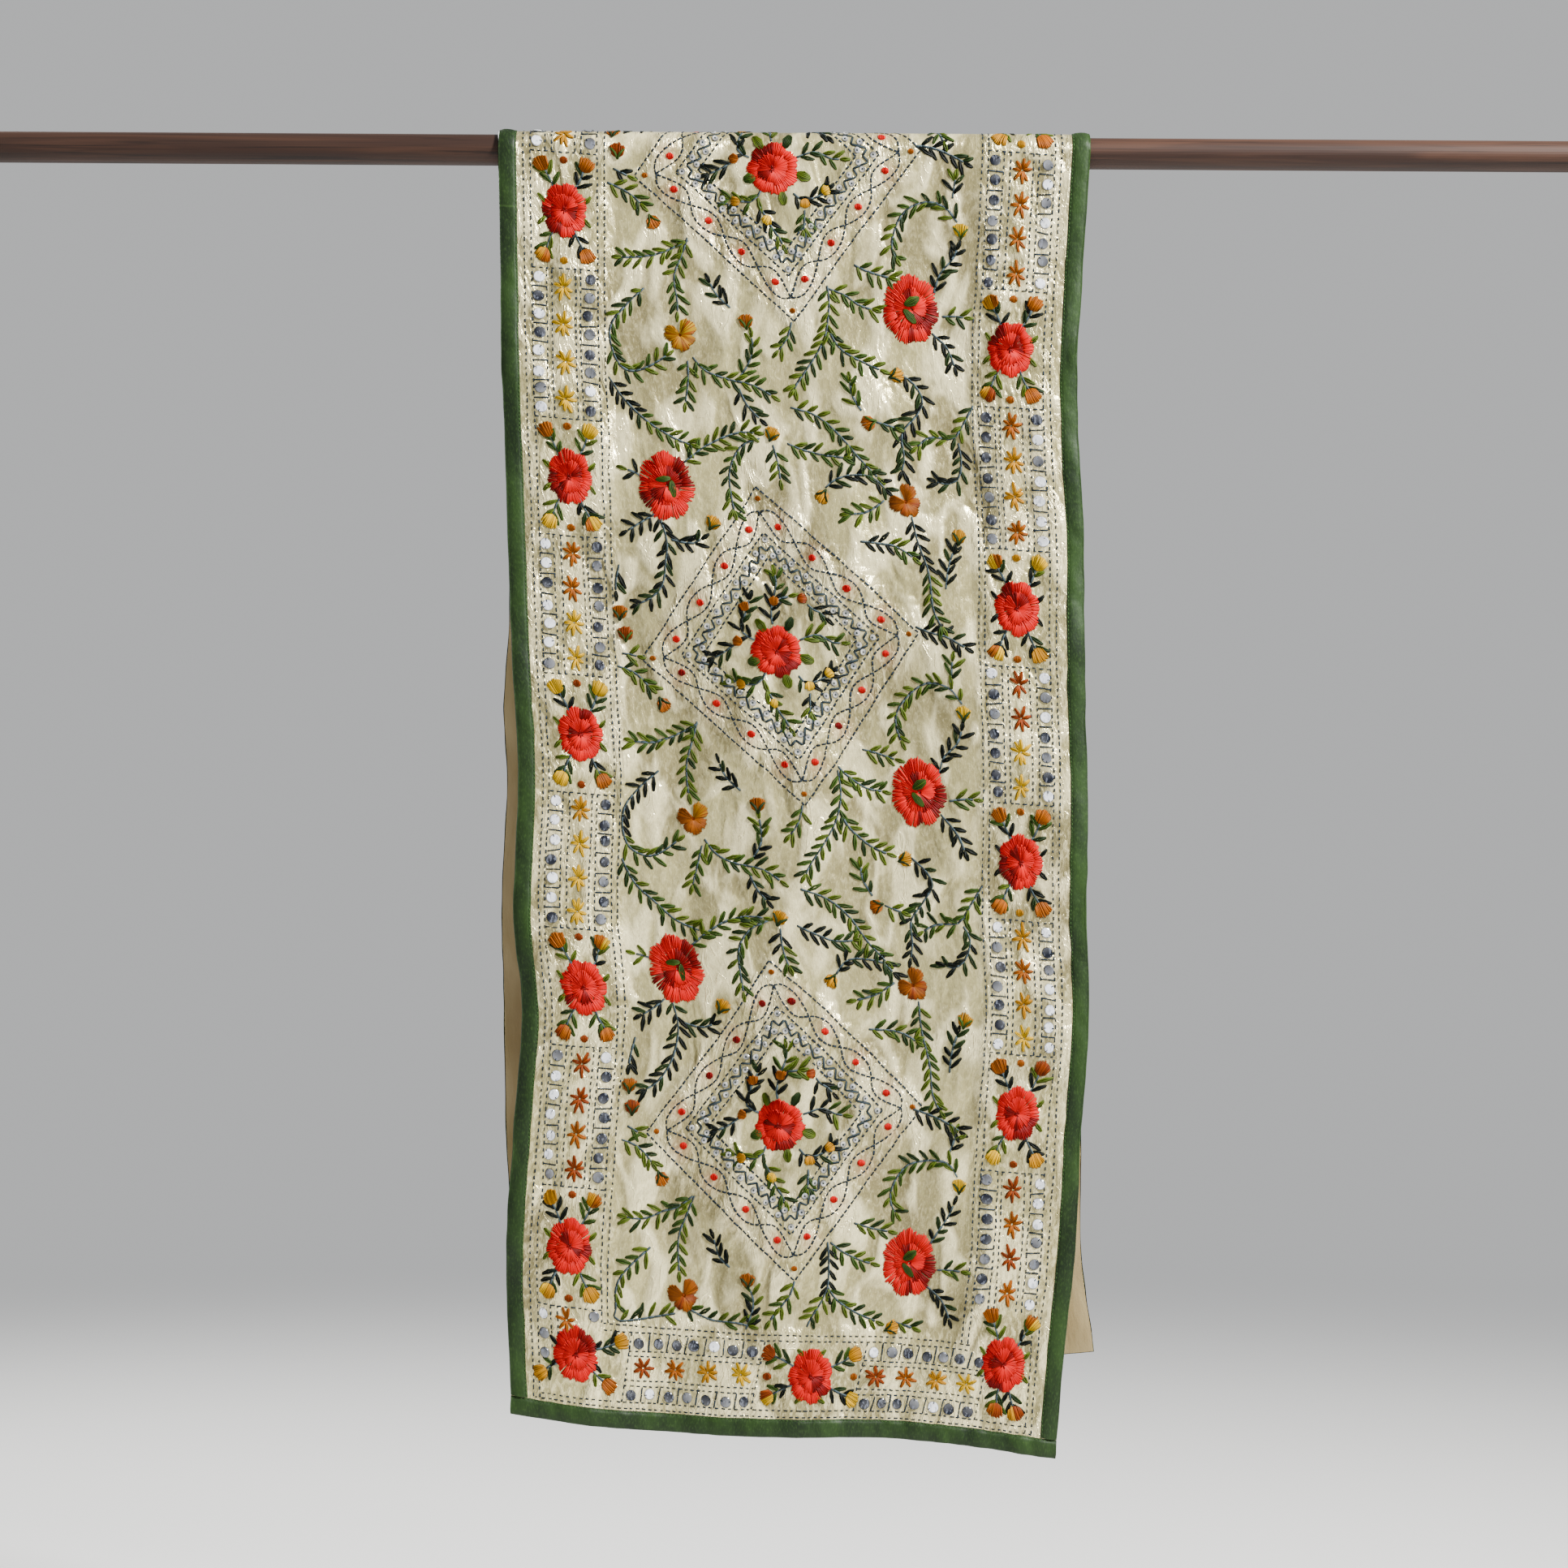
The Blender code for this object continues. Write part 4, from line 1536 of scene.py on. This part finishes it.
# gold flowers of five petals: each petal's direction in degrees, spread, reach and which tone it has
butterflyPetals = ((172, 1.35, 13.5, 0), (50, 1.3, 15.0, 1), (-22, 0.9, 12.5, 2), (246, 1.0, 12.0, 2),
                   (292, 0.9, 13.5, 0))
butterflyTones = [
    tonesOf("ochre ochre rust"),
    tonesOf("ochre mustard ochre"),
    tonesOf("mustard yellow mustard"),
]


def butterfly(centre, turn, tones):
    for degrees, spread, reach, number in butterflyPetals:
        count = int(spread * fieldHand["petalFullness"])
        isOchre = draw.random((count, 1)) < fieldHand["ochreChance"]
        mixed = np.where(isOchre, threads["ochre"], tones[number])
        shade = mixed * (0.72 + draw.normal(0, 0.12, (count, 1)))
        middle = math.radians(degrees) + turn
        fan(centre, middle, spread, (1.0, reach), count, shade, draw.uniform(0.2, 0.5), 0.1)
    dotStitches(poppies, centre, threads["rust"], 4.0)


def buildField(centre, tones, lowest):
    centre = np.asarray(centre, float)

    def within(rows):
        # the rows whose place lies inside the borders, with that place
        places = [(centre + row[:2], *row[2:]) for row in rows]
        return [row for row in places if inField(row[0])[0]]

    for kind, route in fieldVines + (lowVines if lowest else ()):
        shifted = centre + route + draw.normal(0, fieldHand["scatter"], (len(route), 2))
        clippedVine(shifted, leafTones[kind])
    for place, degrees, name in within(fieldBuds):
        sepals = threads["moss" if draw.random() < fieldHand["mossChance"] else "grass"]
        budFan(place, math.radians(degrees), threads[name], bud["fieldSize"], sepals=sepals)
    for place, turn, isVaried in within(butterflies):
        butterfly(place, turn, tones if isVaried else butterflyTones[0])
    for place, kind in within(poppyPlaces):
        poppy(place, kind)


# mirrors and sequins
foil = {
    "metallic": 0.2,
    "roughness": 0.22,
    "streak": ((520, 520, 230), 2),
    "streakTone": tone(124, 130, 144),
}
mirror = {
    "radius": 4.5,
    "height": 0.7,
    "tilt": 0.06,
    "bright": tone(250, 252, 255),
    "dull": tone(16, 20, 32),
    # how dark the rim is painted, as painted shade, and how much lighter one side is painted, as a painted
    # reflection
    "rim": 0.18,
    "turned": 0.2,
    # the share of mirrors up to here, and how bright they are painted, as a painted reflection; the
    # outermost ones are painted shining more often
    "shares": ((0.18, 0.97), (0.42, 0.13), (1.0, 0.015)),
    "outermost": 196.0,
    "outermostShare": (0.66, 0.95),
    # two stitches hold it: from where to where from its middle, and the turn between them
    "hold": (4.6, 2.4),
    "holdTurns": (0.0, 2.6),
}
# a sequin's colour is a painted reflection, lighter on one side, with painted shade on its rim and pit
sequin = {
    "radius": 2.7,
    "height": 0.6,
    "tilt": 0.07,
    "bright": tone(238, 236, 226),
    "dull": tone(46, 49, 48),
    "rim": 0.14,
    "turned": 0.55,
    "brightness": 0.42,
    "stud": (0.7, 0.2),
}


def layDiscs(places, template, facts, brightness):
    # flat round pieces, each tilted a little its own way and painted lighter on one side, a painted
    # reflection
    shape, faces = template
    count = len(places)
    tilt = draw.normal(0, facts["tilt"], (count, 1, 2))
    local = shape[None, :, :2] * facts["radius"]
    flat = places[:, None] + local
    rise = (shape[None, :, 2] + 1) / 2 * facts["height"] + facts["radius"] * np.abs(tilt).sum(axis=2) * 0.8
    rise = rise + (local * tilt).sum(axis=2) + 0.05
    points = onCloth(flat[..., 0], flat[..., 1], faceTop + rise)
    turn = draw.uniform(0, 2 * math.pi, (count, 1))
    lit = (shape[None, :, 0] * np.cos(turn) + shape[None, :, 1] * np.sin(turn)) * facts["turned"]
    share = np.clip(brightness[:, None] + lit * (brightness[:, None] + 0.3), 0, 1)[..., None]
    colours = facts["dull"] * (1 - share) + facts["bright"] * share
    # painted shade: the discs' sloped sides and the sequins' pits are darkened
    colours[:, shape[:, 2] < 0] *= facts["rim"]
    return points, faces, colours.reshape(-1, 3)


def foilMaterial():
    finish = Finish("mirror_foil")
    colour = finish.attribute("threadColour", output=0)
    place = finish.node("TexCoord", None, None, output=3)
    # painted reflection: streaks of a cool grey tone across the foil
    streak = finish.between(finish.noise(place, *foil["streak"]), 0.55, 0.6)
    colour = finish.mix(streak * 0.5, colour, foil["streakTone"])
    return finish.surface(Base_Color=colour, Roughness=foil["roughness"], Metallic=foil["metallic"])


def buildMirrors(material):
    places = np.asarray(mirrorPlaces)
    # painted reflection: each mirror is coloured white, grey or dark for what it would reflect
    chance = draw.random(len(places))
    ends, brightness = np.array(mirror["shares"]).T
    share = brightness[np.searchsorted(ends, chance, side="right")]
    above, shine = mirror["outermostShare"]
    share = np.where((chance > above) & (np.abs(places[:, 0]) > mirror["outermost"]), shine, share)
    points, faces, colours = layDiscs(places, disc, mirror, share)
    joinedPiece("mirrors", points, faces, colours, material, crease=30)
    holds = Pile("mirror_stitches", dash)
    first = anyAngle(len(places))
    outer, inner = mirror["hold"]
    for turn in mirror["holdTurns"]:
        ray = unit(first + turn + draw.normal(0, 0.4, len(places)))
        begin, end = places + ray * outer, places + ray * inner
        holds.add(begin, end, 1.0, stitch["height"], threads["running"], lift=0.6, endLift=0.95)
    holds.sew(bpy.data.materials["floss"])


def buildSequins(material):
    places = np.asarray(sequinPlaces)
    brightness = np.full(len(places), sequin["brightness"])
    points, faces, colours = layDiscs(places, cup, sequin, brightness)
    joinedPiece("sequins", points, faces, colours, material, crease=30)
    studs = Pile("sequin_studs", dash)
    begin, end = places - sequin["stud"], places + sequin["stud"]
    studs.add(begin, end, 1.0, stitch["height"], threads["stem"], lift=0.6)
    studs.sew(bpy.data.materials["floss"])


# the whole thing
def buildEmbroidery():
    for side in (-1, 1):
        sideBorder(side)
    for atBack in (False, True):
        endBorder(atBack)
    bandSeams()
    print("borders laid out")
    for k, centre in enumerate(diamond["centres"]):
        buildDiamond(centre)
        buildPosy(centre, pale=k % 2 == 0)
    # the last stretch of field hangs from a diamond that would lie beyond the back hem
    spacing = diamond["centres"][1][1] - diamond["centres"][0][1]
    beyond = (-13.0, diamond["centres"][-1][1] + spacing)
    for k, centre in enumerate((*diamond["centres"], beyond)):
        buildField(centre, butterflyTones[k % 3], lowest=k == 0)
    print("diamonds and vines laid out")
    floss = threadMaterial()
    for pile in (petals, poppies, buds, fieldLeaves, borderLeaves, stems, zigzags, starRays, seams):
        pile.sew(floss)
    running.sew(floss, jitter=0.18)
    shiny = foilMaterial()
    buildMirrors(shiny)
    buildSequins(shiny)
    print("embroidery sewn")


buildEmbroidery()
buildFace(silkMaterial())
buildLining(liningMaterial())
green = satinMaterial()
buildSideBand("satin_band_left", -1, green, "band_left")
buildSideBand("satin_band_right", 1, green, "band_right")
buildHemBand("satin_band_front_hem", False, green, "band_front_hem")
buildHemBand("satin_band_back_hem", True, green, "band_back_hem")
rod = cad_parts["rod"]
rod.data.materials.clear()
rod.data.materials.append(walnutMaterial())
print("sheets, bands and rod done")


# the studio
studio = {
    "floorHeight": -1.32,
    "floorColour": tone(214, 213, 210),
    "floorFade": (1.3, 3.6),
    "air": tone(214, 215, 216),
    "airStrength": 0.8,
    "camera": (-0.0052, -3.02, -0.5096),
    "lens": 86.0,
    "cameraRoll": 0.36,
    # name, place, what it is aimed at, size and power
    "lights": (
        ("key", (2.3, -1.5, 1.75), (0, 0, -0.35), 0.55, 480),
        ("fill", (-2.3, -2.4, 0.3), (0, 0, -0.5), 1.4, 8),
        ("back_soft", (-2.0, 2.2, 1.0), (0, 0, -0.5), 0.9, 160),
    ),
}


def buildFloor():
    bm = bmesh.new()
    bmesh.ops.create_circle(bm, cap_ends=True, segments=96, radius=9)
    bmesh.ops.translate(bm, verts=bm.verts, vec=(0, 0, studio["floorHeight"]))
    data = bpy.data.meshes.new("floor")
    bm.to_mesh(data)
    bm.free()
    finish = Finish("floor")
    place = finish.node("TexCoord", None, None, output=3)
    away = finish.node("VectorMath", {"operation": "LENGTH"}, {0: place}, output=1)
    near, far = studio["floorFade"]
    seen = 1 - finish.between(away, near, far)
    data.materials.append(finish.surface(Base_Color=studio["floorColour"], Roughness=0.9, Alpha=seen))
    floor = intoScene("floor", data)


def addLight(name, place, target, size, power):
    data = bpy.data.lights.new(name, "AREA")
    data.shape = "SQUARE"
    data.size = size
    data.energy = power
    light = intoScene(name, data)
    light.location = place
    aim = np.array(target) - np.array(place)
    flat = math.hypot(aim[0], aim[1])
    light.rotation_euler = (math.pi / 2 + math.atan2(aim[2], flat), 0, math.atan2(-aim[0], aim[1]))


def buildStudio():
    buildFloor()
    for row in studio["lights"]:
        addLight(*row)
    world = bpy.data.worlds.new("studio")
    bpy.context.scene.world = world
    world.use_nodes = True
    background = world.node_tree.nodes["Background"]
    background.inputs["Color"].default_value = (*studio["air"], 1)
    background.inputs["Strength"].default_value = studio["airStrength"]
    data = bpy.data.cameras.new("camera")
    data.lens = studio["lens"]
    camera = intoScene("camera", data)
    camera.location = studio["camera"]
    roll = Matrix.Rotation(math.radians(studio["cameraRoll"]), 4, "Z")
    camera.rotation_euler = (Matrix.Rotation(math.pi / 2, 4, "X") @ roll).to_euler()
    bpy.context.scene.camera = camera


buildStudio()
print("studio done")
